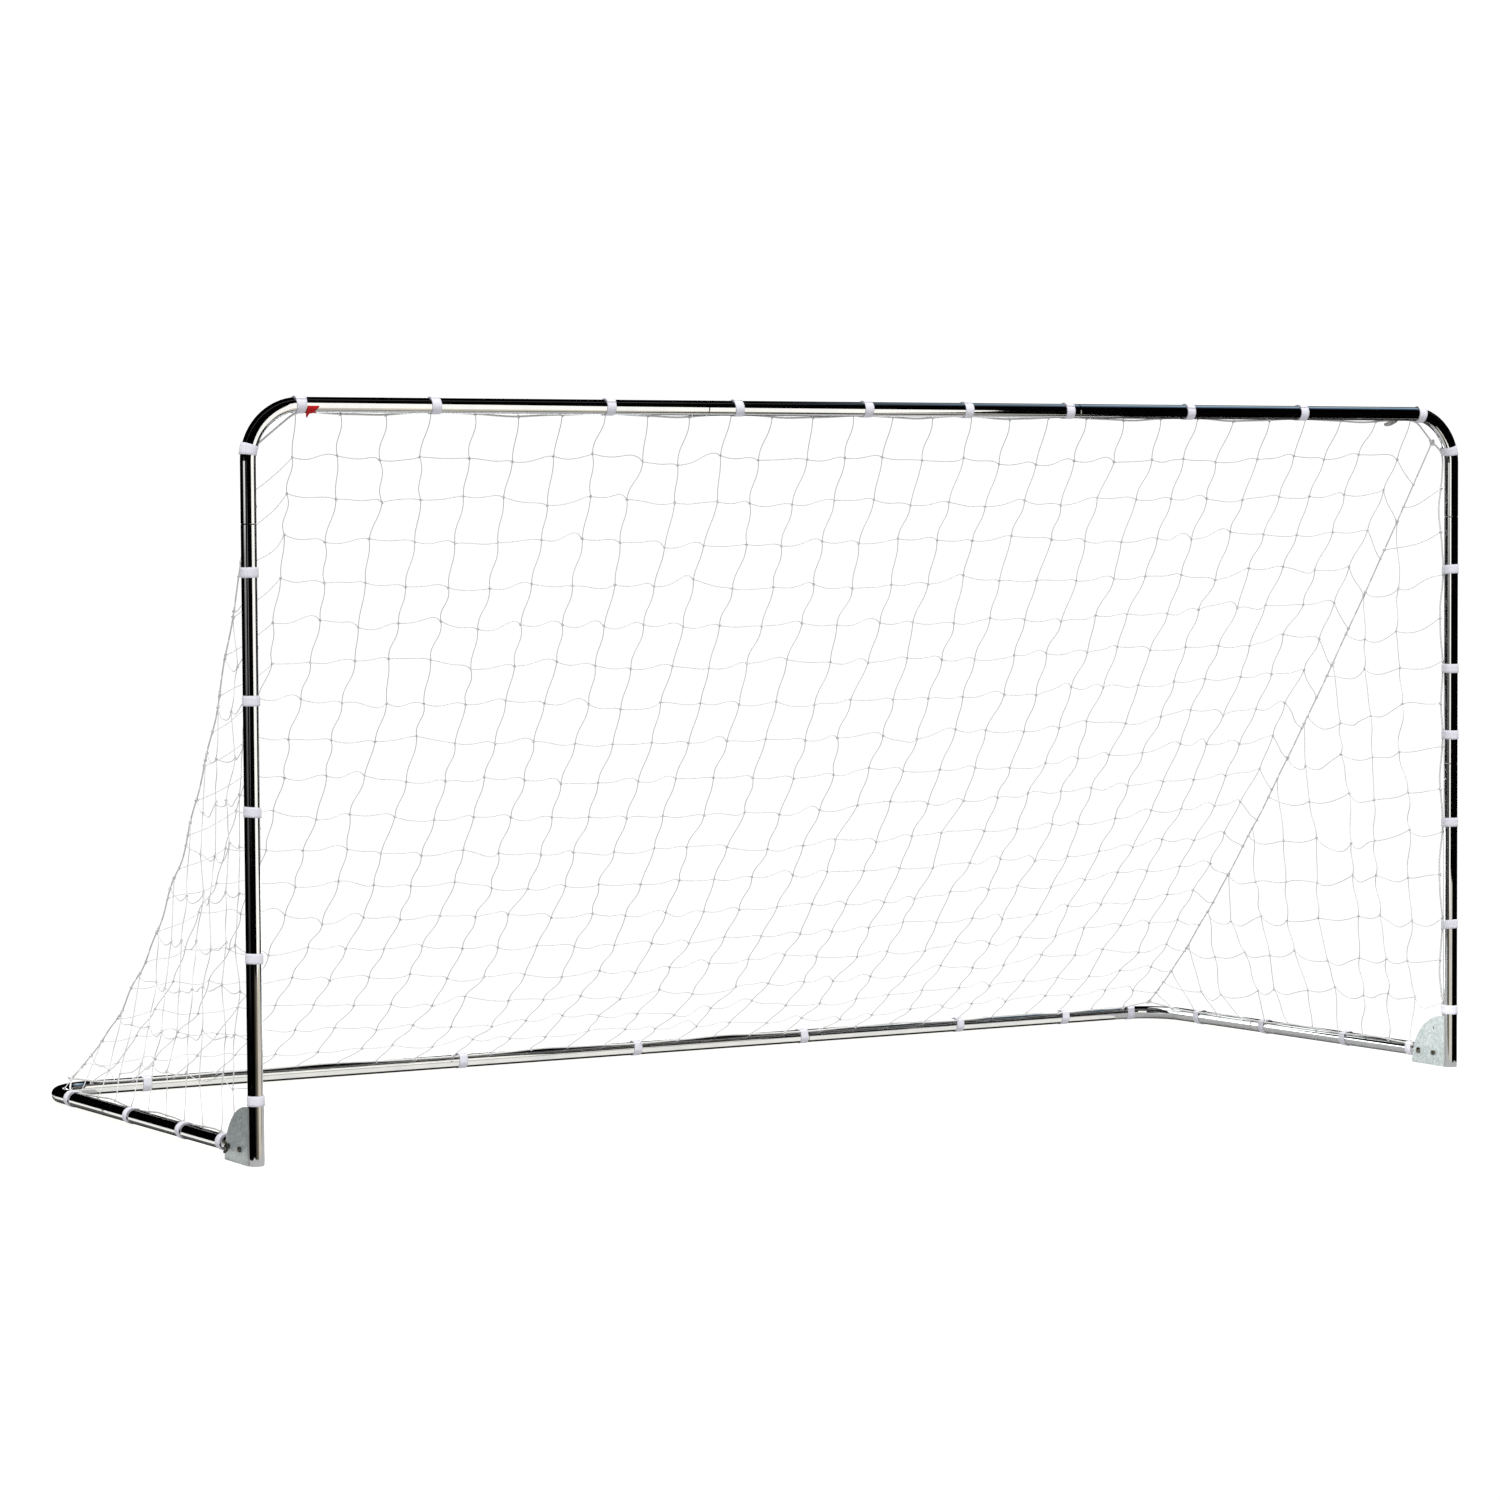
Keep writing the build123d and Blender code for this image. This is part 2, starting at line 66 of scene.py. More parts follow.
# ---- dimensions read from the frame ----
post_low, post_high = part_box("foot_post_right")
POST_X, POST_Y, _ = middle("foot_post_right")
CROSSBAR_Z = middle("crossbar").z
TUBE_R = (post_high.x - post_low.x) / 2
BEND_R = 0.135               # of the top and rear corners, to the tube's axis
BACK_TUBE = middle("back_bar")
PIVOT = Vector(next(j["pos_m"] for j in frame["joints"] if j["name"] == "base_fold"))
_, PLATE_BACK, PLATE_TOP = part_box("hinge_plate_inner_right")[1]
BEND_X = POST_X - BEND_R
BEND_Z = CROSSBAR_Z - BEND_R
BASE_SLOPE = (BACK_TUBE.z - PIVOT.z) / (BACK_TUBE.y - PIVOT.y)
SIDES = {"left": -1, "right": 1}
SIDE_OF = {-1: "left", 1: "right"}

# ---- sizes of the soft parts ----
ROPE_R = 0.0025
SEAM_ROPE_R = 0.0021
TWINE_R = 0.0012
MESH = 0.12                  # side of one square of the net
MESH_KNOT = 0.0036           # radius of a knot in the net, and below, of one on a rope
EDGE_KNOT = 0.0045
SEAM_KNOT = 0.0042
ROPE_REACH = TUBE_R + ROPE_R + 0.0001
ROPE_SHIFT = ROPE_REACH / sqrt(2)
STRAP_WIDTH = 0.025
STRAP_THICKNESS = 0.0017
ROPE_X = POST_X - ROPE_SHIFT
ROPE_Y = POST_Y + ROPE_SHIFT
ROPE_Z = CROSSBAR_Z - ROPE_SHIFT
NET_EDGE_X = 1.77            # half the net's width

# ---- camera, fitted to the photo ----
CAMERA_PLACE = (-5.945, -10.4835, 1.544)
CAMERA_TURNS = (radians(29.426), radians(-2.987), radians(-0.343))    # yaw, pitch and roll
CAMERA_LENS = 105.73         # mm
SENSOR_WIDTH = 36            # mm


# ---- camera, light, floor and cards ----
def link(thing):
    bpy.context.scene.collection.objects.link(thing)


def add_camera():
    yaw, pitch, roll = CAMERA_TURNS
    ahead = Vector((sin(yaw) * cos(pitch), cos(yaw) * cos(pitch), sin(pitch)))
    right = Vector((cos(yaw), -sin(yaw), 0))
    up = right.cross(ahead)
    turned_right = right * cos(roll) + up * sin(roll)
    turned_up = up * cos(roll) - right * sin(roll)
    data = bpy.data.cameras.new("camera")
    data.lens = CAMERA_LENS
    data.sensor_width = SENSOR_WIDTH
    data.clip_end = 200
    camera = bpy.data.objects.new("camera", data)
    matrix = Matrix((turned_right, turned_up, -ahead)).transposed().to_4x4()
    matrix.translation = CAMERA_PLACE
    camera.matrix_world = matrix
    link(camera)
    bpy.context.scene.camera = camera


def node_maker(tree):
    """A short way to add shader nodes. A socket goes by its name, or by i and its number."""
    def make(kind, settings=None, **inputs):
        node = tree.nodes.new(kind)
        for name, value in (settings or {}).items():
            setattr(node, name, value)
        for name, value in inputs.items():
            by_number = name[0] == "i" and name[1:].isdigit()
            socket = node.inputs[int(name[1:]) if by_number else name]
            if isinstance(value, bpy.types.NodeSocket):
                tree.links.new(value, socket)
            else:
                socket.default_value = value
        return node
    return make


def ramp(make, value, stops):
    """Colour ramp from (position, grey or colour) stops; returns its colour."""
    node = make("ShaderNodeValToRGB", i0=value)
    points = node.color_ramp.elements
    while len(points) < len(stops):
        points.new(0.5)
    for point, (position, colour) in zip(points, stops):
        point.position = position
        point.color = (*colour, 1) if isinstance(colour, tuple) else (colour, colour, colour, 1)
    return node.outputs[0]


def calculate(make, operation, *values):
    """One sum of numbers or sockets."""
    inputs = {f"i{number}": value for number, value in enumerate(values)}
    return make("ShaderNodeMath", {"operation": operation}, **inputs).outputs[0]


def remap(make, value, low, high, new_low=0.0, new_high=1.0):
    """A value carried from one range to another, and kept inside it."""
    return make("ShaderNodeMapRange", i0=value, i1=low, i2=high, i3=new_low, i4=new_high).outputs[0]


def combine(make, blend, share, first, second):
    """Two colours mixed, multiplied or added."""
    node = make("ShaderNodeMix", {"data_type": "RGBA", "blend_type": blend}, i0=share, i6=first, i7=second)
    return node.outputs[2]


def studio_reflections(make):
    """What the polished tubes mirror besides the cards: a dark studio with a few soft lights."""
    direction = make("ShaderNodeTexCoord").outputs["Generated"]
    x, y, z = make("ShaderNodeSeparateXYZ", i0=direction).outputs
    azimuth = remap(make, calculate(make, "ARCTAN2", y, x), -pi, pi)
    tilt = remap(make, calculate(make, "ARCTAN2", z, y), -pi, pi)
    height = remap(make, z, -1.0, 1.0)

    def turned(*stops):
        """Ramp stops from (degrees, brightness) pairs round a whole turn."""
        return [((angle + 180) / 360, value) for angle, value in stops]

    def raised(*stops):
        """Ramp stops from (sine of the height, brightness) pairs."""
        return [((sine + 1) / 2, value) for sine, value in stops]

    def both(first, second):
        return combine(make, "MULTIPLY", 1.0, first, second)

    window = both(
        ramp(make, azimuth, turned((-180, 1.2), (-160, 1.2), (-154, 0.0), (172, 0.0), (178, 1.2))),
        ramp(make, height, raised((-0.11, 0.0), (-0.05, 0.12), (-0.01, 0.3),
                                  (0.006, 1.0), (0.04, 1.0), (0.06, 0.0))),
    )
    strip = both(
        ramp(make, azimuth, turned((-136, 0.0), (-133, 0.4), (-130, 0.4), (-127, 0.0))),
        ramp(make, height, raised((-0.07, 0.0), (-0.04, 1.0), (-0.01, 1.0), (0.01, 0.0))),
    )
    overhead = remap(make, z, 0.6, 0.7)
    to_the_right = ramp(make, x, [(0.5, 0.0), (0.57, 1.0)])
    skylight = both(
        calculate(make, "MULTIPLY", overhead, to_the_right),
        ramp(make, tilt, turned((25, 0.0), (50, (0.8, 0.95, 1.0)), (78, (0.42, 0.6, 0.8)),
                                (98, (0.05, 0.11, 0.2)), (112, 0.0))),
    )
    total = ramp(make, tilt, turned((99, 0.0), (101, 0.12), (105, 0.12), (107, 0.0)))
    for light in (window, strip, skylight):
        total = combine(make, "ADD", 1.0, total, light)
    return total


def light_the_world():
    """White to the camera, a soft even light on cloth and plates, and the studio in the polished metal."""
    world = bpy.data.worlds.new("studio")
    bpy.context.scene.world = world
    world.use_nodes = True
    tree = world.node_tree
    tree.nodes.clear()
    make = node_maker(tree)
    rays = make("ShaderNodeLightPath")
    seen = make("ShaderNodeBackground", Color=(1, 1, 1, 1), Strength=1.05)
    soft = make("ShaderNodeBackground", Color=(0.97, 0.98, 1.0, 1), Strength=0.6)
    mirrored = make("ShaderNodeBackground", Color=studio_reflections(make), Strength=1.0)
    indirect = make("ShaderNodeMixShader", i0=rays.outputs["Is Glossy Ray"],
                    i1=soft.outputs[0], i2=mirrored.outputs[0])
    final = make("ShaderNodeMixShader", i0=rays.outputs["Is Camera Ray"],
                 i1=indirect.outputs[0], i2=seen.outputs[0])
    make("ShaderNodeOutputWorld", Surface=final.outputs[0])


def add_lights():
    """A soft sun for the cloth and the plates, and a small lamp on the right hinge."""
    sun = bpy.data.lights.new("key", "SUN")
    sun.energy = 2.6
    sun.angle = radians(30)
    key = bpy.data.objects.new("key", sun)
    key.rotation_euler = (radians(26), radians(-10), 0)
    key.visible_glossy = False
    link(key)
    spot = bpy.data.lights.new("foot", "SPOT")
    spot.energy = 50
    spot.spot_size = radians(14)
    spot.spot_blend = 1.0
    spot.shadow_soft_size = 0.05
    foot = bpy.data.objects.new("foot", spot)
    foot.location = (0.9, -1.3, 0.35)
    hinge = Vector((POST_X, POST_Y + 0.07, 0.07))
    foot.rotation_euler = (hinge - foot.location).to_track_quat("-Z", "Y").to_euler()
    foot.visible_glossy = False
    link(foot)


def stage_sheet(name, corners, emission, base, tint=(1.0, 0.98, 0.94), only_mirrored=True):
    """A plain matt sheet of the studio, spanned by its corners. Most are seen only in the metal."""
    mesh = bpy.data.meshes.new(name)
    mesh.from_pydata(corners, [], [list(range(len(corners)))])
    sheet = bpy.data.objects.new(name, mesh)
    link(sheet)
    material, _, shader = new_material(name)
    feed(material, shader, colour=(base, base, base, 1), rough=0.9)
    feed(material, shader, **{"Specular IOR Level": 0.1, "Emission Color": (*tint, 1),
                              "Emission Strength": emission})
    mesh.materials.append(material)
    sheet.visible_glossy = only_mirrored
    sheet.visible_camera = not only_mirrored
    sheet.visible_diffuse = False
    sheet.visible_shadow = not only_mirrored


def add_floor():
    """White floor that ends just outside the goal, and doubles of its parts that only the metal mirrors: an
    even one, and strips of painted shade and painted light beside the tubes.
    """
    def level(x_low, x_high, y_low, y_high, z):
        return [(x_high, y_high, z), (x_low, y_high, z), (x_low, y_low, z), (x_high, y_low, z)]

    floor_z, double_z, part_z = -0.0005, -0.0004, -0.0003
    whole = (-1.93, 1.93, -0.86, 0.88)
    stage_sheet("floor", level(*whole, floor_z), 0.95, 0.25, only_mirrored=False)
    for name, edges, z, emission, base in (
        ("mirrored_floor", whole, double_z, 0.0, 0.55),
        # Painted shade and painted light: dark strips where the left base tube and the back bar cast their
        # shadows, glowing strips on their lit sides.
        ("painted_shade_floor_left", (-1.845, -1.76, -0.64, 0.735), part_z, 0.0, 0.13),
        ("painted_light_floor_left", (-1.90, -1.845, -0.64, 0.735), part_z, 1.0, 0.3),
        ("painted_light_floor_behind", (-1.66, 1.66, 0.58, 0.709), part_z, 0.9, 0.3),
        ("painted_shade_floor_behind", (-1.66, 1.66, 0.709, 0.80), part_z, 0.0, 0.05),
    ):
        stage_sheet(name, level(*edges, z), emission, base)


def add_cards():
    """Cards seen only in the metal: a row in front, whose top slopes down to the right, and two behind."""
    left, right = Vector((-1.12, -2.41, 0)), Vector((0.96, -1.77, 0))
    bottom, split = -3.0, 0.27
    slope = ((1.0, 1.82), (0.7, 1.9), (0.45, 2.1), (0.17, 2.6), (0.0, 2.75))
    cream, brown = (1.0, 0.92, 0.78), (1.0, 0.88, 0.70)

    def in_front(share, z):
        return left.lerp(right, share) + Vector((0, 0, z))

    def row_card(start, end, low, high):
        return [in_front(start, low), in_front(end, low), in_front(end, high), in_front(start, high)]

    def rear_card(x_low, x_high, y, low, high):
        return [(x_low, y, low), (x_high, y, low), (x_high, y, high), (x_low, y, high)]

    front = [in_front(0.0, split), in_front(1.0, split)] + [in_front(share, z) for share, z in slope]
    for name, corners, emission, tint in (
        ("brown_card", row_card(-0.7, -0.35, bottom, split), 0.06, brown),
        ("tan_card", row_card(-0.35, 0.0, bottom, split), 0.24, brown),
        ("front_card", front, 1.6, (1.0, 0.98, 0.94)),
        ("front_card_foot", row_card(0.0, 1.0, bottom, split), 0.9, cream),
        ("front_card_end", row_card(1.0, 1.35, -0.3, 0.45), 1.0, (1.0, 0.96, 0.88)),
        ("rear_card", rear_card(-0.4, 1.0, 2.0, -0.1, 0.45), 6.0, (0.93, 0.98, 1.0)),
        ("rear_card_right", rear_card(1.15, 1.85, 0.95, 0.12, 1.0), 2.0, (0.96, 1.0, 1.0)),
    ):
        stage_sheet(name, corners, emission, 0.0, tint)


# ---- materials ----
def new_material(name):
    material = bpy.data.materials.new(name)
    material.use_nodes = True
    make = node_maker(material.node_tree)
    return material, make, material.node_tree.nodes["Principled BSDF"]


def feed(material, shader, **sockets):
    """Link outputs to the shader's sockets, or set plain values on them."""
    names = {"colour": "Base Color", "rough": "Roughness", "metal": "Metallic", "normal": "Normal"}
    for name, value in sockets.items():
        socket = shader.inputs[names.get(name, name)]
        if isinstance(value, bpy.types.NodeSocket):
            material.node_tree.links.new(value, socket)
        else:
            socket.default_value = value


def placed(make, scale=(1, 1, 1)):
    """Object coordinates, stretched by a scale for each axis."""
    coordinates = make("ShaderNodeTexCoord").outputs["Object"]
    return make("ShaderNodeMapping", Vector=coordinates, Scale=scale).outputs[0]


def noise(make, vector, scale, detail=3.0, roughness=0.5):
    node = make("ShaderNodeTexNoise", Vector=vector, Scale=scale, Detail=detail, Roughness=roughness)
    return node.outputs[0]


def waves(make, value, pitch):
    """Smooth ribs from 0 to 1, one for each pitch of a value."""
    phase = calculate(make, "MULTIPLY", value, 2 * pi / pitch)
    return remap(make, calculate(make, "SINE", phase), -1.0, 1.0)


def bump(make, height, strength, distance, normal=None):
    node = make("ShaderNodeBump", Height=height, Strength=strength, Distance=distance)
    if normal is not None:
        node.id_data.links.new(normal, node.inputs["Normal"])
    return node.outputs[0]


def polished_tube(name, along):
    """Bright zinc tube: faint draw lines along it, clouded polish and small handling marks."""
    material, make, shader = new_material(name)
    stretch = [0.012 if axis == along else 1.0 for axis in "xyz"]
    lines = noise(make, placed(make, stretch), 420.0, 2.0)
    clouds = noise(make, placed(make), 14.0, 4.0)
    marks = noise(make, placed(make), 160.0, 5.0, 0.7)
    colour = ramp(make, clouds, [(0.3, (0.57, 0.58, 0.58)), (0.7, (0.66, 0.655, 0.64))])
    worn = ramp(make, marks, [(0.66, 0.0), (0.80, 1.0)])
    colour = combine(make, "MIX", worn, colour, (0.46, 0.47, 0.48, 1))
    base = remap(make, clouds, 0.3, 0.7, 0.035, 0.085)
    rough = calculate(make, "MULTIPLY_ADD", worn, 0.08, base)
    normal = bump(make, lines, 0.05, 0.00003)
    feed(material, shader, colour=colour, rough=rough, metal=1.0, normal=normal)
    return material


def galvanised_plate():
    """Dull zinc plate with spangle."""
    material, make, shader = new_material("galvanised_plate")
    where = placed(make)
    spangle = make("ShaderNodeTexVoronoi", Vector=where, Scale=170.0, Randomness=1.0)
    tone = make("ShaderNodeSeparateColor", i0=spangle.outputs["Color"]).outputs[0]
    clouds = noise(make, where, 30.0, 4.0)
    shade = calculate(make, "MULTIPLY_ADD", clouds, 0.5, calculate(make, "MULTIPLY", tone, 0.55))
    colour = ramp(make, shade, [(0.2, (0.42, 0.47, 0.455)), (0.55, (0.54, 0.595, 0.58)),
                                (0.85, (0.67, 0.72, 0.705))])
    rough = remap(make, tone, 0.0, 1.0, 0.34, 0.52)
    normal = bump(make, noise(make, where, 300.0, 3.0), 0.25, 0.0001)
    feed(material, shader, colour=colour, rough=rough, metal=0.4, normal=normal)
    return material


def plated_steel(name, dark, light, rough_low, rough_high):
    """Plated fastener: a slightly uneven plating, darker and lighter in random patches."""
    material, make, shader = new_material(name)
    where = placed(make)
    patches = noise(make, where, 220.0, 4.0)
    grain = noise(make, where, 1400.0, 2.0)
    colour = ramp(make, patches, [(0.32, dark), (0.68, light)])
    rough = remap(make, patches, 0.3, 0.7, rough_high, rough_low)
    feed(material, shader, colour=colour, rough=rough, metal=1.0, normal=bump(make, grain, 0.2, 0.00005))
    return material


def weld_metal():
    """Rippled weld bead, sprayed over with zinc."""
    material, make, shader = new_material("weld")
    where = placed(make)
    ripples = make("ShaderNodeTexWave", {"bands_direction": "Z", "wave_profile": "SIN"},
                   Vector=where, Scale=90.0, Distortion=3.0, Detail=2.0)
    spots = noise(make, where, 400.0, 4.0)
    colour = ramp(make, spots, [(0.3, (0.36, 0.38, 0.37)), (0.7, (0.60, 0.62, 0.60))])
    normal = bump(make, ripples.outputs[1], 0.4, 0.0002)
    feed(material, shader, colour=colour, rough=0.5, metal=0.6, normal=bump(make, spots, 0.3, 0.0001, normal))
    return material


def laid_line(name, dark, light, twists, depth):
    """Twisted rope or twine: three strands wind round it, by its UV map, with a little fuzz and dust; its
    colour darkens in the grooves between the strands as painted shade.
    """
    material, make, shader = new_material(name)
    uv = make("ShaderNodeUVMap", {"uv_map": "line"}).outputs[0]
    u, v, _ = make("ShaderNodeSeparateXYZ", i0=uv).outputs
    strands = waves(make, calculate(make, "MULTIPLY_ADD", v, twists, u), 1 / 3)
    fuzz = noise(make, placed(make), 900.0, 3.0)
    dust = noise(make, placed(make), 6.0, 3.0)
    # Painted shade: the colour darkens in the grooves between the strands, and dust adds patches.
    shade = calculate(make, "MULTIPLY_ADD", dust, 0.4, calculate(make, "MULTIPLY", strands, 0.6))
    colour = ramp(make, shade, [(0.1, dark), (0.7, light)])
    normal = bump(make, strands, 0.8, depth)
    normal = bump(make, fuzz, 0.25, depth / 3, normal)
    sheen = {"Sheen Weight": 0.25, "Sheen Roughness": 0.4}
    feed(material, shader, colour=colour, rough=0.8, normal=normal, **sheen)
    return material


def webbing(name, dark, light):
    """Hook-and-loop strap: fine ribs across its length, woven crosswise, with a soft nap; painted shade
    darkens it towards both edges.
    """
    material, make, shader = new_material(name)
    uv = make("ShaderNodeUVMap", {"uv_map": "weave"}).outputs[0]
    along, across, _ = make("ShaderNodeSeparateXYZ", i0=uv).outputs
    weave = calculate(make, "MULTIPLY", waves(make, along, 0.0009), waves(make, across, 0.0011))
    nap = noise(make, placed(make), 700.0, 4.0)
    stains = noise(make, placed(make), 18.0, 3.0)
    # Painted shade: the colour darkens towards both edges of the strap.
    edge = remap(make, calculate(make, "ABSOLUTE", across), STRAP_WIDTH * 0.38, STRAP_WIDTH * 0.5)
    shade = calculate(make, "MULTIPLY_ADD", weave, 0.3, 0.12)
    shade = calculate(make, "MULTIPLY_ADD", stains, 0.55, shade)
    shade = calculate(make, "MULTIPLY_ADD", edge, -0.25, shade)
    colour = ramp(make, shade, [(0.05, dark), (0.6, light)])
    normal = bump(make, weave, 0.7, 0.0003)
    normal = bump(make, nap, 0.35, 0.0003, normal)
    sheen = {"Sheen Weight": 0.3, "Sheen Roughness": 0.5}
    feed(material, shader, colour=colour, rough=0.85, normal=normal, **sheen)
    return material


def ribbon_cloth(name, dark, light):
    """Close woven ribbon: fine crosswise ribs and creases; painted shade darkens the colour in the creases'
    hollows.
    """
    material, make, shader = new_material(name)
    uv = make("ShaderNodeUVMap", {"uv_map": "weave"}).outputs[0]
    stretched = make("ShaderNodeMapping", Vector=uv, Scale=(2600.0, 260.0, 1.0)).outputs[0]
    ribs = noise(make, stretched, 1.0, 2.0)
    creases = noise(make, placed(make), 120.0, 3.0)
    # Painted shade: the colour follows the crease relief and is darker in its hollows.
    colour = ramp(make, creases, [(0.35, dark), (0.6, light)])
    normal = bump(make, creases, 0.5, 0.001, bump(make, ribs, 0.3, 0.0002))
    feed(material, shader, colour=colour, rough=0.7, normal=normal, **{"Specular IOR Level": 0.15})
    return material


def finish_metal():
    """Give every carried-over metal node its material."""
    tubes = {axis: polished_tube(f"polished_tube_{axis or 'bend'}", axis) for axis in ("x", "y", "z", "")}
    zinc = plated_steel("dark_zinc", (0.04, 0.035, 0.03), (0.32, 0.30, 0.25), 0.08, 0.2)
    button = plated_steel("bright_button", (0.5, 0.51, 0.52), (0.78, 0.79, 0.8), 0.1, 0.2)
    spring = plated_steel("spring_steel", (0.2, 0.22, 0.25), (0.44, 0.46, 0.5), 0.2, 0.35)
    for starts, material in (
        (("crossbar", "back_bar"), tubes["x"]),
        ("base_side", tubes["y"]),
        (("mid_post", "foot_post"), tubes["z"]),
        (("top_elbow", "rear_corner"), tubes[""]),
        ("hinge_plate", galvanised_plate()),
        ("bracket_welds", weld_metal()),
        (("pivot", "lock", "wing"), zinc),
        ("button", button),
        (("front_spring", "base_spring"), spring),
    ):
        for name, node in nodes.items():
            if name.startswith(starts) and not name.endswith("straps"):
                node.data.materials.clear()
                node.data.materials.append(material)


# ---- mesh tools ----
class Builder:
    """Gathers vertices, faces and UVs of many small shapes into one mesh."""

    def __init__(self):
        self.points, self.faces, self.uvs, self.count = [], [], [], 0

    def add(self, points, faces, uvs):
        """Points and faces of one shape; uvs holds one (u, v) for each corner of each face."""
        self.points.append(np.asarray(points, float))
        self.faces += [tuple(i + self.count for i in face) for face in faces]
        self.uvs += uvs
        self.count += len(points)

    def build(self, name, material, uv_name="line"):
        mesh = bpy.data.meshes.new(name)
        mesh.from_pydata(np.concatenate(self.points).tolist(), [], self.faces)
        layer = mesh.uv_layers.new(name=uv_name)
        layer.data.foreach_set("uv", np.asarray(self.uvs, np.float32).ravel())
        mesh.polygons.foreach_set("use_smooth", [True] * len(mesh.polygons))
        mesh.materials.append(material)
        mesh.validate()
        piece = bpy.data.objects.new(name, mesh)
        link(piece)
        return piece


def skin(rings, size, closed=False):
    """Faces over rings of points, ring after ring, with capped ends unless the last ring meets the first."""
    faces = []
    for i in range(rings if closed else rings - 1):
        j = (i + 1) % rings
        for k in range(size):
            m = (k + 1) % size
            faces.append((i * size + k, i * size + m, j * size + m, j * size + k))
    if not closed:
        last = (rings - 1) * size
        faces += [tuple(range(size))[::-1], tuple(last + k for k in range(size))]
    return faces


def add_line(builder, path, radius, sides=6, closed=False):
    """Round line through the points of a path, with capped ends unless it is closed."""
    path = np.asarray(path, float)
    count = len(path)
    if closed:
        tangents = np.roll(path, -1, 0) - np.roll(path, 1, 0)
    else:
        tangents = np.gradient(path, axis=0)
    tangents /= np.linalg.norm(tangents, axis=1, keepdims=True)
    across = np.cross(tangents[0], (0.31, 0.22, 0.93) if abs(tangents[0][2]) < 0.9 else (1.0, 0.1, 0.0))
    angles = np.arange(sides) * 2 * pi / sides
    steps = np.linalg.norm(np.diff(path, axis=0), axis=1)
    travelled = np.concatenate([[0], np.cumsum(steps)]) / (2 * pi * radius)
    points = []
    for centre, tangent in zip(path, tangents):
        across = across - tangent * across.dot(tangent)
        across /= np.linalg.norm(across)
        other = np.cross(tangent, across)
        points += [centre + radius * (across * cos(a) + other * sin(a)) for a in angles]
    uvs = []
    for i in range(count if closed else count - 1):
        low = travelled[i]
        high = travelled[i + 1] if i + 1 < count else travelled[i] + 1
        for k in range(sides):
            left, right = k / sides, (k + 1) / sides
            uvs += [(left, low), (right, low), (right, high), (left, high)]
    if not closed:
        uvs += [(0.5, 0.0)] * (2 * sides)
    builder.add(points, skin(count, sides, closed), uvs)


def knot_shape():
    """Overhand knot drawn tight: a trefoil of unit size, as one closed line."""
    turns = np.linspace(0, 2 * pi, 21, endpoint=False)
    path = np.stack([
        np.sin(turns) + 2 * np.sin(2 * turns),
        np.cos(turns) - 2 * np.cos(2 * turns),
        -1.4 * np.sin(3 * turns),
    ], axis=1) / 3
    builder = Builder()
    add_line(builder, path, 0.33, sides=5, closed=True)
    return np.concatenate(builder.points), builder.faces, builder.uvs


KNOT = knot_shape()


def add_knot(builder, centre, size):
    """Tight knot of a given radius round a point, turned at random."""
    points, faces, uvs = KNOT
    turn = random.normal(size=4)
    a, b, c, d = turn / np.linalg.norm(turn)
    rotation = np.array([
        [1 - 2 * (c * c + d * d), 2 * (b * c - a * d), 2 * (b * d + a * c)],
        [2 * (b * c + a * d), 1 - 2 * (b * b + d * d), 2 * (c * d - a * b)],
        [2 * (b * d - a * c), 2 * (c * d + a * b), 1 - 2 * (b * b + c * c)],
    ])
    builder.add(points @ rotation.T * size + np.asarray(centre), faces, uvs)


# ---- straps ----
def straight_seat(centre, along, bulge):
    """Seat on a straight tube: for a distance along it, the axis point, its direction and the rope's side."""
    along, bulge = Vector(along).normalized(), Vector(bulge).normalized()
    return lambda distance: (centre + along * distance, along, bulge)


def bent_seat(hub, start, turning, lift, angle):
    """Seat on a bend: hub is its centre, start and turning span its plane, lift leans the rope off it."""
    hub, start, turning, lift = Vector(hub), Vector(start), Vector(turning), Vector(lift)

    def seat(distance):
        turn = angle + distance / BEND_R
        outward = start * cos(turn) + turning * sin(turn)
        along = turning * cos(turn) - start * sin(turn)
        return hub + outward * BEND_R, along, (lift - outward).normalized()
    return seat


def hug_outline(steps):
    """Unit-speed outline round the tube and the rope beside it: (along the bulge, across it) and normals."""
    rope = ROPE_R + 0.0001
    lean = acos((TUBE_R - rope) / ROPE_REACH)
    tube_turns = np.linspace(lean, 2 * pi - lean, 60)
    rope_turns = np.linspace(-lean, lean, 16)
    points = [(TUBE_R * cos(a), TUBE_R * sin(a), cos(a), sin(a)) for a in tube_turns]
    points += [(ROPE_REACH + rope * cos(a), rope * sin(a), cos(a), sin(a)) for a in rope_turns]
    points = np.array(points + points[:1])
    reach = np.concatenate([[0], np.cumsum(np.linalg.norm(np.diff(points[:, :2], axis=0), axis=1))])
    even = np.linspace(0, reach[-1], steps, endpoint=False)
    outline = np.stack([np.interp(even, reach, points[:, k]) for k in range(4)], axis=1)
    outline[:, 2:] /= np.linalg.norm(outline[:, 2:], axis=1, keepdims=True)
    return outline, reach[-1]


OUTLINE, OUTLINE_LENGTH = hug_outline(96)
STRAP_GAP = 0.00012                      # between the strap and what it hugs
STRAP_CROWN = 1.08                       # thickness in the middle, as a share of the nominal
STRAP_UNDERSIDE = [(-0.485, 0.0), (-0.25, 0.0), (0.0, 0.0), (0.25, 0.0), (0.485, 0.0)]
STRAP_TOP = [(0.485, 1.0), (0.25, 1.06), (0.0, STRAP_CROWN), (-0.25, 1.06), (-0.485, 1.0)]
STRAP_SECTION = [(-0.5, 0.25), *STRAP_UNDERSIDE, (0.5, 0.25), (0.5, 0.75), *STRAP_TOP, (-0.5, 0.75)]
CLIMB_START, CLIMB_LENGTH = 0.86, 0.12   # shares of a turn over which the tail climbs on its own start


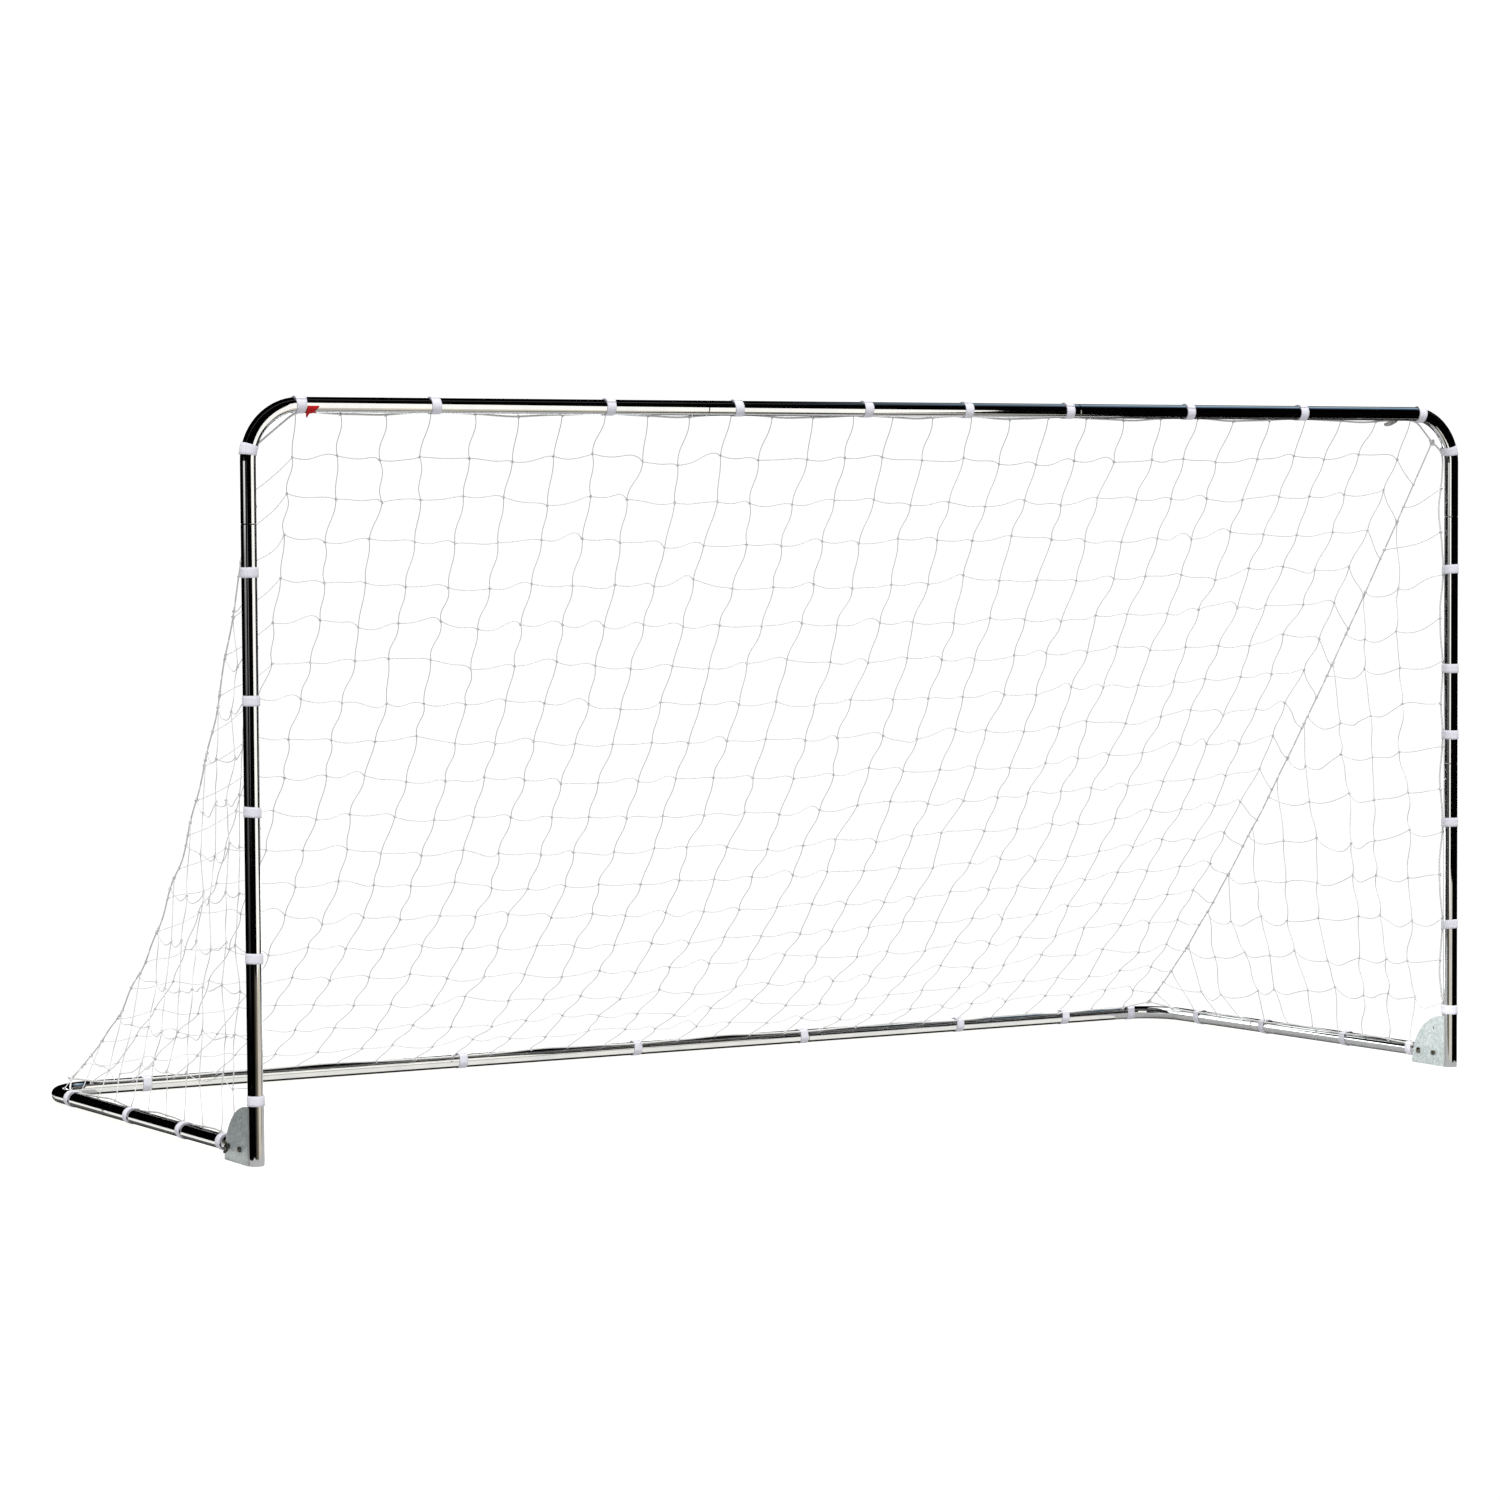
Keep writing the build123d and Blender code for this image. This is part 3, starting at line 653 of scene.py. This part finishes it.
def add_strap(builder, seat, start):
    """Webbing wound once round tube and rope, its tail pressed down over its own start."""
    overlap = 0.22 + 0.05 * random.random()    # share of a turn
    skew, shift = 0.0012 * random.normal(), 0.0006 * random.normal()
    total = ceil(len(OUTLINE) * (1 + overlap))
    points, uvs = [], []
    for i in range(total):
        share = i / len(OUTLINE)
        b, c, nb, nc = OUTLINE[(start + i) % len(OUTLINE)]
        climb = np.clip((share - CLIMB_START) / CLIMB_LENGTH, 0, 1)
        base = STRAP_GAP + (STRAP_THICKNESS * STRAP_CROWN + 0.0001) * climb * climb * (3 - 2 * climb)
        lean = shift + skew * sin(2 * pi * share)
        narrow = 0.94 if i in (0, total - 1) else 1.0
        for across, height in STRAP_SECTION:
            distance = across * STRAP_WIDTH * narrow + lean
            centre, along, bulge = seat(distance)
            other = along.cross(bulge)
            lift = base + height * STRAP_THICKNESS
            points.append(centre + bulge * (b + nb * lift) + other * (c + nc * lift))
    size = len(STRAP_SECTION)
    step = OUTLINE_LENGTH / len(OUTLINE)
    for i in range(total - 1):
        for k in range(size):
            left, right = (STRAP_SECTION[corner % size][0] * STRAP_WIDTH for corner in (k, k + 1))
            uvs += [(i * step, left), (i * step, right), ((i + 1) * step, right), ((i + 1) * step, left)]
    uvs += [(0.0, 0.0)] * (2 * size)
    builder.add([tuple(p) for p in points], skin(total, size), uvs)


def overlap_start(seat):
    """Step of the outline at which a strap begins, so that its double layer lies clear of the floor."""
    _, along, bulge = seat(0.0)
    beside_the_rope, behind_the_tube = 8, 46
    begin = beside_the_rope if along.cross(bulge).z > 0.1 else behind_the_tube
    return int(random.integers(begin, begin + 8))


def places(node, axis):
    """Middles, along an axis, of the separate straps in one CAD node."""
    values = sorted({round(v.co["xyz".index(axis)], 5) for v in nodes[node].data.vertices})
    groups = [[values[0]]]
    for value in values[1:]:
        if value - groups[-1][-1] > STRAP_WIDTH * 0.8 + 0.01:
            groups.append([])
        groups[-1].append(value)
    return [(group[0] + group[-1]) / 2 for group in groups]


def base_height(y):
    """Height of the base tubes' axis, which falls from the hinge to the back bar."""
    return PIVOT.z + BASE_SLOPE * (y - PIVOT.y)


STRAPS_AT = {"crossbar": places("crossbar_straps", "x"), "back": places("back_bar_straps", "x")}
for side in SIDES:
    STRAPS_AT[f"post_{side}"] = places(f"post_straps_{side}", "z")
    STRAPS_AT[f"side_{side}"] = places(f"side_straps_{side}", "y")


def front_seat(sign, x=None, z=None):
    """Seat on the crossbar at x, on a post at z, or on the top bend that either falls in."""
    if x is not None and abs(x) <= BEND_X:
        return straight_seat(Vector((x, POST_Y, CROSSBAR_Z)), (1, 0, 0), (0, 1, -1))
    if z is not None and z <= BEND_Z:
        return straight_seat(Vector((sign * POST_X, POST_Y, z)), (0, 0, 1), (-sign, 1, 0))
    turn = acos((abs(x) - BEND_X) / BEND_R) if x is not None else asin((z - BEND_Z) / BEND_R)
    hub = (sign * BEND_X, POST_Y, BEND_Z)
    return bent_seat(hub, (sign, 0, 0), (0, 0, 1), (0, 1, 0), turn)


def base_seat(sign, x=None, y=None):
    """Seat on the back bar at x, on a base side tube at y, or on the right rear bend."""
    downhill = Vector((0, 1, BASE_SLOPE)).normalized()
    upright = Vector((1, 0, 0)).cross(downhill)
    if y is not None:
        centre = Vector((sign * POST_X, y, base_height(y)))
        return straight_seat(centre, downhill, Vector((-sign, 0, 0)) + upright)
    if abs(x) <= BEND_X:
        return straight_seat(Vector((x, BACK_TUBE.y, BACK_TUBE.z)), (1, 0, 0), upright - downhill)
    hub = Vector((sign * BEND_X, BACK_TUBE.y, BACK_TUBE.z)) - downhill * BEND_R
    turn = acos((abs(x) - BEND_X) / BEND_R)
    return bent_seat(hub, (sign, 0, 0), downhill, upright, turn)


def make_straps(material):
    """One piece for each CAD strap node, each strap with its own skew and overlap."""
    groups = {
        "crossbar_straps": [front_seat(np.sign(x), x=x) for x in STRAPS_AT["crossbar"]],
        "back_bar_straps": [base_seat(np.sign(x), x=x) for x in STRAPS_AT["back"]],
    }
    for side, sign in SIDES.items():
        groups[f"post_straps_{side}"] = [front_seat(sign, z=z) for z in STRAPS_AT[f"post_{side}"]]
        groups[f"side_straps_{side}"] = [base_seat(sign, y=y) for y in STRAPS_AT[f"side_{side}"]]
    for node, seats in groups.items():
        builder = Builder()
        for seat in seats:
            add_strap(builder, seat, overlap_start(seat))
        piece = builder.build(f"webbing_{node}", material, "weave")
        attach(piece, "front_frame" if node.startswith(("crossbar", "post")) else "base_frame")
        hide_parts(node)


# ---- border ropes ----
def bow(value, held, depth):
    """How far a rope bows between the straps that hold it."""
    held = sorted(held)
    for low, high in zip(held, held[1:]):
        if low <= value <= high:
            share = (value - low) / (high - low)
            slack = depth * min(1.0, (high - low) / 0.35)
            return slack * sin(pi * share) ** 2 * (1 + 0.25 * sin(5 * pi * share + 9 * low))
    return 0.0


KNOT_AT = {                              # of the border rope in the top corners
    -1: Vector((0.02895 - POST_X, ROPE_Y + 0.005, CROSSBAR_Z - 0.098)),
    1: Vector((POST_X - 0.05295, ROPE_Y + 0.004, CROSSBAR_Z - 0.078)),
}
FOOT_AT = {                              # and in the rear corners
    sign: Vector((sign * (POST_X - 0.05895), BACK_TUBE.y - 0.052, BACK_TUBE.z + 0.03685)) for sign in (-1, 1)
}
ROPE_FOOT = PLATE_TOP + 0.003


def post_rope(sign, z):
    held = [ROPE_FOOT] + STRAPS_AT[f"post_{SIDE_OF[sign]}"]
    out = bow(z, held, 0.013)
    return Vector((sign * (ROPE_X - 0.8 * out), ROPE_Y + 0.6 * out, z))


def crossbar_rope(x):
    out = bow(x, STRAPS_AT["crossbar"], 0.008)
    return Vector((x, ROPE_Y + 0.3 * out, ROPE_Z - out))


def side_rope(sign, y):
    held = [PLATE_BACK + 0.01] + STRAPS_AT[f"side_{SIDE_OF[sign]}"]
    out = bow(y, held, 0.008)
    return Vector((sign * (ROPE_X - 0.6 * out), y, base_height(y) + ROPE_SHIFT + 0.8 * out))


def back_rope(x):
    out = bow(x, STRAPS_AT["back"], 0.011)
    return Vector((x, BACK_TUBE.y - ROPE_SHIFT - 0.8 * out, BACK_TUBE.z + ROPE_SHIFT + 0.6 * out))


def even(low, high, pitch):
    return np.linspace(low, high, max(2, ceil(abs(high - low) / pitch) + 1))


def eased(path, rounds=3):
    """Smooth a path's corners and keep its ends."""
    path = np.array([tuple(p) for p in path], float)
    for _ in range(rounds):
        path[1:-1] = path[1:-1] / 2 + (path[:-2] + path[2:]) / 4
    return path


def between(start, end, pitch=0.012):
    """Points on the way from one place to another, without the places themselves."""
    start, end = Vector(start), Vector(end)
    count = max(2, ceil((end - start).length / pitch))
    return [start.lerp(end, i / count) for i in range(1, count)]


def bend_rope_point(sign, turn):
    reach = BEND_R - ROPE_SHIFT
    return Vector((sign * (BEND_X + reach * cos(turn)), ROPE_Y, BEND_Z + reach * sin(turn)))


def corner_rope(sign):
    """The border rope's short cut across a top corner, from the post's last strap through the knot."""
    top = STRAPS_AT[f"post_{SIDE_OF[sign]}"][-1]
    over = max(STRAPS_AT["crossbar"]) if sign > 0 else -min(STRAPS_AT["crossbar"])
    low = bend_rope_point(sign, asin(max(0.0, top - BEND_Z) / BEND_R))
    high = bend_rope_point(sign, acos(max(0.0, over - BEND_X) / BEND_R))
    return [low, *between(low, KNOT_AT[sign]), KNOT_AT[sign], *between(KNOT_AT[sign], high), high]


def front_rope_path():
    left, right = STRAPS_AT["post_left"], STRAPS_AT["post_right"]
    across = STRAPS_AT["crossbar"]
    path = [post_rope(-1, z) for z in even(ROPE_FOOT, left[-1] - 0.02, 0.02)]
    path += corner_rope(-1)
    path += [crossbar_rope(x) for x in even(across[0] + 0.02, across[-1] - 0.02, 0.02)]
    path += corner_rope(1)[::-1]
    path += [post_rope(1, z) for z in even(right[-1] - 0.02, ROPE_FOOT, 0.02)]
    return eased(path)


def rear_corner_rope(sign):
    """The border rope's way round a rear corner, drawn inwards at the net's foot knot."""
    start = side_rope(sign, BACK_TUBE.y - BEND_R - 0.02)
    end = back_rope(sign * (BEND_X - 0.02))
    return [start, *between(start, FOOT_AT[sign]), FOOT_AT[sign], *between(FOOT_AT[sign], end), end]


def base_rope_path():
    front = PLATE_BACK + 0.012
    rear = BACK_TUBE.y - BEND_R - 0.04
    path = [side_rope(-1, y) for y in even(front, rear, 0.02)]
    path += rear_corner_rope(-1)
    path += [back_rope(x) for x in even(0.04 - BEND_X, BEND_X - 0.04, 0.02)]
    path += rear_corner_rope(1)[::-1]
    path += [side_rope(1, y) for y in even(rear, front, 0.02)]
    return eased(path)


def make_border_ropes(material):
    for node, path, body, corner_knots, size in (
        ("border_rope_front", front_rope_path(), "front_frame", KNOT_AT, 0.0085),
        ("border_rope_base", base_rope_path(), "base_frame", FOOT_AT, 0.0075),
    ):
        builder = Builder()
        add_line(builder, path, ROPE_R, sides=10)
        for end in (path[0], path[-1]):
            add_knot(builder, end, 0.0052)
        for sign in (-1, 1):
            add_knot(builder, corner_knots[sign], size)
        piece = builder.build(f"laid_{node}", material)
        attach(piece, body)
        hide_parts(node)


# ---- net ----
def sag_share(share):
    """How far a slack line hangs at a share of its way, as a share of its sag half way."""
    return 4 * share * (1 - share)


SEAM_SAG = {-1: 0.225, 1: 0.24}          # seam ropes' hang below a straight line, half way down
SEAM_DRAWN_IN = {-1: 0.052, 1: 0.094}    # and their bow towards the middle of the goal
FOLD_ROOM = 0.012                        # bow of the side rows off the posts, clear of the folding base


def net_sag(x):
    """How far the back of the net hangs below a straight line, half way down."""
    return 0.31 - 0.07 * min(1.0, abs(x) / NET_EDGE_X) ** 2


def drawn_in(x):
    """How far the net's weight draws it towards the middle, half way down."""
    return 0.094 * min(1.0, abs(x) / NET_EDGE_X) ** 1.5


def seam_point(sign, share):
    """A point on the seam rope, from the top corner's knot (0) to the rear corner's (1)."""
    straight = KNOT_AT[sign].lerp(FOOT_AT[sign], share)
    hang = Vector((-sign * SEAM_DRAWN_IN[sign], 0, -SEAM_SAG[sign])) * sag_share(share)
    tug = Vector((0.4 * sign, 0, 1)) * (0.004 * sin(62 * share) + 0.003 * sin(37 * share)) * sag_share(share)
    return straight + hang + tug


def back_point(x, share):
    """A point on the back of the net: x at the crossbar, and the share of the way to the back bar."""
    straight = crossbar_rope(x).lerp(back_rope(x), share)
    return straight + Vector((-np.sign(x) * drawn_in(x), 0, -net_sag(x))) * sag_share(share)


def row_shares():
    """Shares of the way down at which the back's rows lie, one mesh apart along the net."""
    samples = np.linspace(0, 1, 400)
    line = np.array([tuple(back_point(0, s)) for s in samples])
    reach = np.concatenate([[0], np.cumsum(np.linalg.norm(np.diff(line, axis=0), axis=1))])
    rows = round(reach[-1] / MESH)
    return np.interp(np.linspace(0, reach[-1], rows + 1), reach, samples)


HUMP_SCALE = 12.2                        # brings the peak of share ** 4 * (1 - share) to 1


def twine(start, end, droop=0.0, swing=(0, 0, 0), hump=0.0, inward=0.0):
    """Slack twine between two knots: it droops, swings aside and back, rises to its end and bows inward."""
    start, end, swing = Vector(start), Vector(end), Vector(swing)
    steps = max(8, ceil((end - start).length / 0.0125))
    path = []
    for i in range(steps + 1):
        share = i / steps
        rise = HUMP_SCALE * hump * share ** 4 * (1 - share)
        bowed = sag_share(share)
        hang = Vector((inward * bowed ** 0.7, 0, rise - droop * bowed))
        path.append(tuple(start.lerp(end, share) + hang + swing * sin(2 * pi * share)))
    return path


def jitter(scale):
    return Vector(random.normal(size=3) * scale)


def follow_fold(piece):
    """Find the share of the base's turn for a small piece of net, from none at the posts to all at the floor;
    a piece with none goes with the front frame, one with all with the base, and any other is fixed where it
    stands.
    """
    points = np.array([v.co for v in piece.data.vertices])
    _, y, z = (points.min(axis=0) + points.max(axis=0)) / 2 - np.array(PIVOT)
    reach, angle = np.hypot(y, z), np.arctan2(z, y)
    lowered = 1 - angle / (pi / 2)
    turned, slope = turn_share(lowered)
    if turned <= 0.0005 or turned >= 0.9995:
        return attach(piece, "front_frame" if turned < 0.5 else "base_frame")
    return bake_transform(piece)


def turn_share(lowered):
    """Share of the fold's turn for net that hangs a share of the way from post to floor, and its slope."""
    steep = 1.1
    rest = 0.5 - 0.5 / steep
    if lowered <= 0:
        return 0.0, 1.0
    if lowered > 0.5:
        value, slope = turn_share(1 - lowered)
        return 1 - value, slope
    if lowered < 2 * rest:
        curve = steep / (4 * rest)
        return curve * lowered ** 2, 2 * curve * lowered
    return steep * (lowered - rest), steep


class Cells:
    """Net pieces, one for each cell of a pattern that keeps each piece small."""

    def __init__(self, name, cell_of):
        self.name, self.cell_of, self.builders = name, cell_of, {}

    def builder(self, point):
        return self.builders.setdefault(self.cell_of(Vector(point)), Builder())

    def line(self, path, radius):
        add_line(self.builder(path[len(path) // 2]), path, radius)

    def knot(self, point, size):
        add_knot(self.builder(point), point, size)

    def build(self, material, replaced, slot):
        for number, key in enumerate(sorted(self.builders), 1):
            piece = self.builders[key].build(f"{self.name}_{number:02d}", material)
            follow_fold(piece)
            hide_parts(*replaced)


def back_grid(shares):
    """Knots of the back of the net: 29 columns under the crossbar, from rope to rope."""
    columns = round((BEND_X - 0.01) / MESH)
    grid = {}
    for column in range(-columns, columns + 1):
        x = column * MESH
        for row, share in enumerate(shares):
            point = back_point(x, share)
            if 0 < row < len(shares) - 1:
                point += jitter((0.006, 0.004, 0.006))
            grid[column, row] = point
    return grid, columns


def band_of(shares):
    """Band of the net's back, between two rows, that a point belongs to."""
    levels = [back_point(0, s) for s in shares]
    turns = [np.arctan2(p.z - PIVOT.z, p.y - PIVOT.y) for p in levels]

    def cell(point):
        turn = np.arctan2(point.z - PIVOT.z, point.y - PIVOT.y)
        return int(np.searchsorted(-np.array(turns), -turn))
    return cell


def make_back(material):
    shares = row_shares()
    grid, columns = back_grid(shares)
    cells = Cells("net_back", band_of(shares))
    last = len(shares) - 1
    for column in range(-columns, columns + 1):
        for row in range(last):
            swing = Vector((0.0045, 0.001, 0.0)) * random.uniform(0.3, 1.5)
            path = twine(grid[column, row], grid[column, row + 1], 0.001, swing)
            cells.line(path, TWINE_R)
        for row in range(last + 1):
            cells.knot(grid[column, row], MESH_KNOT if 0 < row < last else EDGE_KNOT)
    for row in range(1, last):
        for column in range(-columns, columns):
            droop = 0.0035 + 0.003 * random.normal()
            swing = Vector((0, 0.002, 0.002)) * random.normal()
            hump = 0.006 + 0.005 * random.normal()
            cells.line(twine(grid[column, row], grid[column + 1, row], droop, swing, hump), TWINE_R)
        for sign in (-1, 1):
            edge = seam_point(sign, min(0.985, shares[row] + 0.005 + 0.018 * min(1.0, row / 6)))
            cells.line(twine(grid[sign * columns, row], edge, 0.006, jitter(0.003)), TWINE_R)
            cells.knot(edge, SEAM_KNOT)
    cells.build(material, ["net_back"], "twine")


def make_seam_ropes(material):
    shares = row_shares()
    cells = Cells("seam_rope", band_of(shares))
    for sign in (-1, 1):
        for low, high in zip(shares, shares[1:]):
            path = [tuple(seam_point(sign, s)) for s in np.linspace(low, high, 7)]
            cells.line(path, SEAM_ROPE_R)
    cells.build(material, ["seam_rope_left", "seam_rope_right"], "rope")


def side_cell(point):
    """Cell of a side of the net: a sector of 7.5 degrees and a ring 0.25 m deep round the hinge."""
    y, z = point.y - PIVOT.y, point.z - PIVOT.z
    sector = int(np.arctan2(z, y) // radians(7.5))
    return min(11, sector), int(np.hypot(y, z) // 0.25)


def seam_at(sign, y=None, z=None):
    """The seam rope's point at a depth y or at a height z."""
    shares = np.linspace(0, 1, 300)
    line = np.array([tuple(seam_point(sign, s)) for s in shares])
    if y is not None:
        share = np.interp(y, line[:, 1], shares)
    else:
        share = np.interp(-z, -line[:, 2], shares)
    return seam_point(sign, share)


def side_knots(sign):
    """Knots of one side of the net, kept by column (from the post) and row (from the floor)."""
    top = STRAPS_AT[f"post_{SIDE_OF[sign]}"][-1] - 0.03
    depths = np.arange(ROPE_Y, FOOT_AT[sign].y - 0.04, MESH)[1:]
    heights = np.arange(0.06, top, MESH)[1:]
    columns, knots = {}, {}
    for column, y in enumerate(depths, 1):
        head, foot = seam_at(sign, y=y), side_rope(sign, max(y, PLATE_BACK + 0.02))
        columns[column] = (head, foot)
        lean = random.normal() * 0.01
        for row, z in enumerate(heights, 1):
            share = (z - foot.z) / max(head.z - foot.z, 1e-6)
            if not 0.03 < share < 1 - 0.05 / max(head.z - foot.z, 0.06):
                continue
            reach = (y - ROPE_Y) / max(seam_at(sign, z=z).y - ROPE_Y, 0.05)
            point = foot.lerp(head, share)
            point.z -= 0.07 * min(1.0, reach) * min(1.0, share * 3)
            point += Vector((0, lean * sin(pi * share), 0)) + jitter((0.005, 0.011, 0.008))
            if point.z > foot.z + 0.03:
                knots[column, row] = point
    return columns, knots, heights


def make_side(sign, side, material):
    columns, knots, heights = side_knots(sign)
    cells = Cells(f"net_side_{side}", side_cell)
    for column, (head, foot) in columns.items():
        rows = sorted(row for c, row in knots if c == column)
        stops = [foot] + [knots[column, row] for row in rows] + [head]
        for low, high in zip(stops, stops[1:]):
            swing = Vector((0.003, 0.011, 0)) * random.uniform(-1.2, 1.2)
            cells.line(twine(low, high, 0.0, swing), TWINE_R)
        for stop in stops:
            cells.knot(stop, EDGE_KNOT if stop is head or stop is foot else MESH_KNOT)
    for row, z in enumerate(heights, 1):
        across = sorted(c for c, r in knots if r == row)
        start = post_rope(sign, z)
        end = seam_at(sign, z=z - 0.05)
        stops = [start] + [knots[c, row] for c in across] + [end]
        for low, high in zip(stops, stops[1:]):
            droop = 0.012 + 0.006 * random.normal()
            inward = -sign * FOLD_ROOM if low is start else 0.0
            cells.line(twine(low, high, droop, jitter(0.0025), inward=inward), TWINE_R)
        for stop in (start, end):
            cells.knot(stop, EDGE_KNOT)
    cells.build(material, [f"net_side_{side}"], "twine")


# ---- tags ----
RED_TAG_X, RED_TAIL_X = -1.6625, -1.6600
RED_TAG_WIDTH, RED_TAIL_WIDTH = 0.031, 0.010
GREY_TAG_X, GREY_TAG_LENGTH = 1.583, 0.047


def add_ribbon(builder, place, size, steps=(12, 12)):
    """Grid of cloth: place(across, down) gives a point for two shares, size its flat width and length."""
    wide, long = steps
    points = [place(i / wide, k / long) for k in range(long + 1) for i in range(wide + 1)]
    faces, uvs = [], []
    for k in range(long):
        for i in range(wide):
            corner = k * (wide + 1) + i
            faces.append((corner, corner + 1, corner + wide + 2, corner + wide + 1))
            for across, down in ((i, k), (i + 1, k), (i + 1, k + 1), (i, k + 1)):
                uvs.append((down / long * size[1], across / wide * size[0]))
    builder.add(points, faces, uvs)


def curled_ribbon(across, down):
    """Red ribbon under the crossbar beside the first strap; its free end is notched."""
    reach = TUBE_R + 0.0012 + 0.0006 * sin(9 * across + 4 * down)
    turn = 0.15 + 1.5 * down
    notch = 0.72 + 0.28 * abs(2 * down - 1)
    x = RED_TAG_X + RED_TAG_WIDTH * across * notch
    return x, POST_Y - reach * cos(turn), CROSSBAR_Z - reach * sin(turn)


def ribbon_tail(across, down):
    """The red ribbon's other end, which hangs below the tube to a point."""
    x = RED_TAIL_X + RED_TAIL_WIDTH * (0.5 + (across - 0.5) * (1 - 0.8 * down)) - 0.003 * down
    return x, POST_Y - 0.003 + 0.002 * sin(3 * down), CROSSBAR_Z - TUBE_R - 0.001 - 0.011 * down


def slanting_ribbon(across, down):
    """Grey ribbon tied to the rope near the other corner; it hangs aslant and twists a little."""
    taper = 1 - 0.7 * abs(2 * across - 1) ** 2
    x = GREY_TAG_X + GREY_TAG_LENGTH * across
    y = ROPE_Y - 0.004 - 0.003 * sin(5 * across + 2 * down)
    return x, y, ROPE_Z - ROPE_R - 0.012 + 0.011 * across - 0.015 * (down - 0.4) * taper


def make_tags():
    red = ribbon_cloth("red_ribbon", (0.40, 0.003, 0.005), (0.70, 0.008, 0.010))
    grey = ribbon_cloth("grey_ribbon", (0.34, 0.31, 0.31), (0.60, 0.56, 0.56))
    red_parts = [(curled_ribbon, (RED_TAG_WIDTH, 0.026)), (ribbon_tail, (RED_TAIL_WIDTH, 0.011))]
    grey_parts = [(slanting_ribbon, (GREY_TAG_LENGTH, 0.013))]
    for name, material, parts, flat, rests_on in (
        ("tag_left", red, red_parts, (0.031, 0.028), ["crossbar_straps", "top_elbow_left"]),
        ("tag_right", grey, grey_parts, (0.048, 0.013), ["border_rope_front"]),
    ):
        builder = Builder()
        for place, size in parts:
            add_ribbon(builder, place, size)
        piece = builder.build(name, material, "weave")
        cloth = piece.modifiers.new("thickness", "SOLIDIFY")
        cloth.thickness = 0.0006
        cloth.offset = 0
        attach(piece, "front_frame")
        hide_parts("corner_markers")


# ---- build ----
bpy.context.scene.view_settings.view_transform = "Standard"
add_camera()
light_the_world()
add_lights()
add_floor()
add_cards()
finish_metal()
make_straps(webbing("hook_and_loop", (0.66, 0.64, 0.72), (0.87, 0.86, 0.92)))
rope = laid_line("border_rope", (0.60, 0.60, 0.57), (0.90, 0.90, 0.87), 0.5, 0.0005)
make_border_ropes(rope)
twine_material = laid_line("net_twine", (0.64, 0.64, 0.64), (0.90, 0.90, 0.89), 0.5, 0.0003)
make_back(twine_material)
make_seam_ropes(rope)
for side, sign in SIDES.items():
    make_side(sign, side, twine_material)
make_tags()
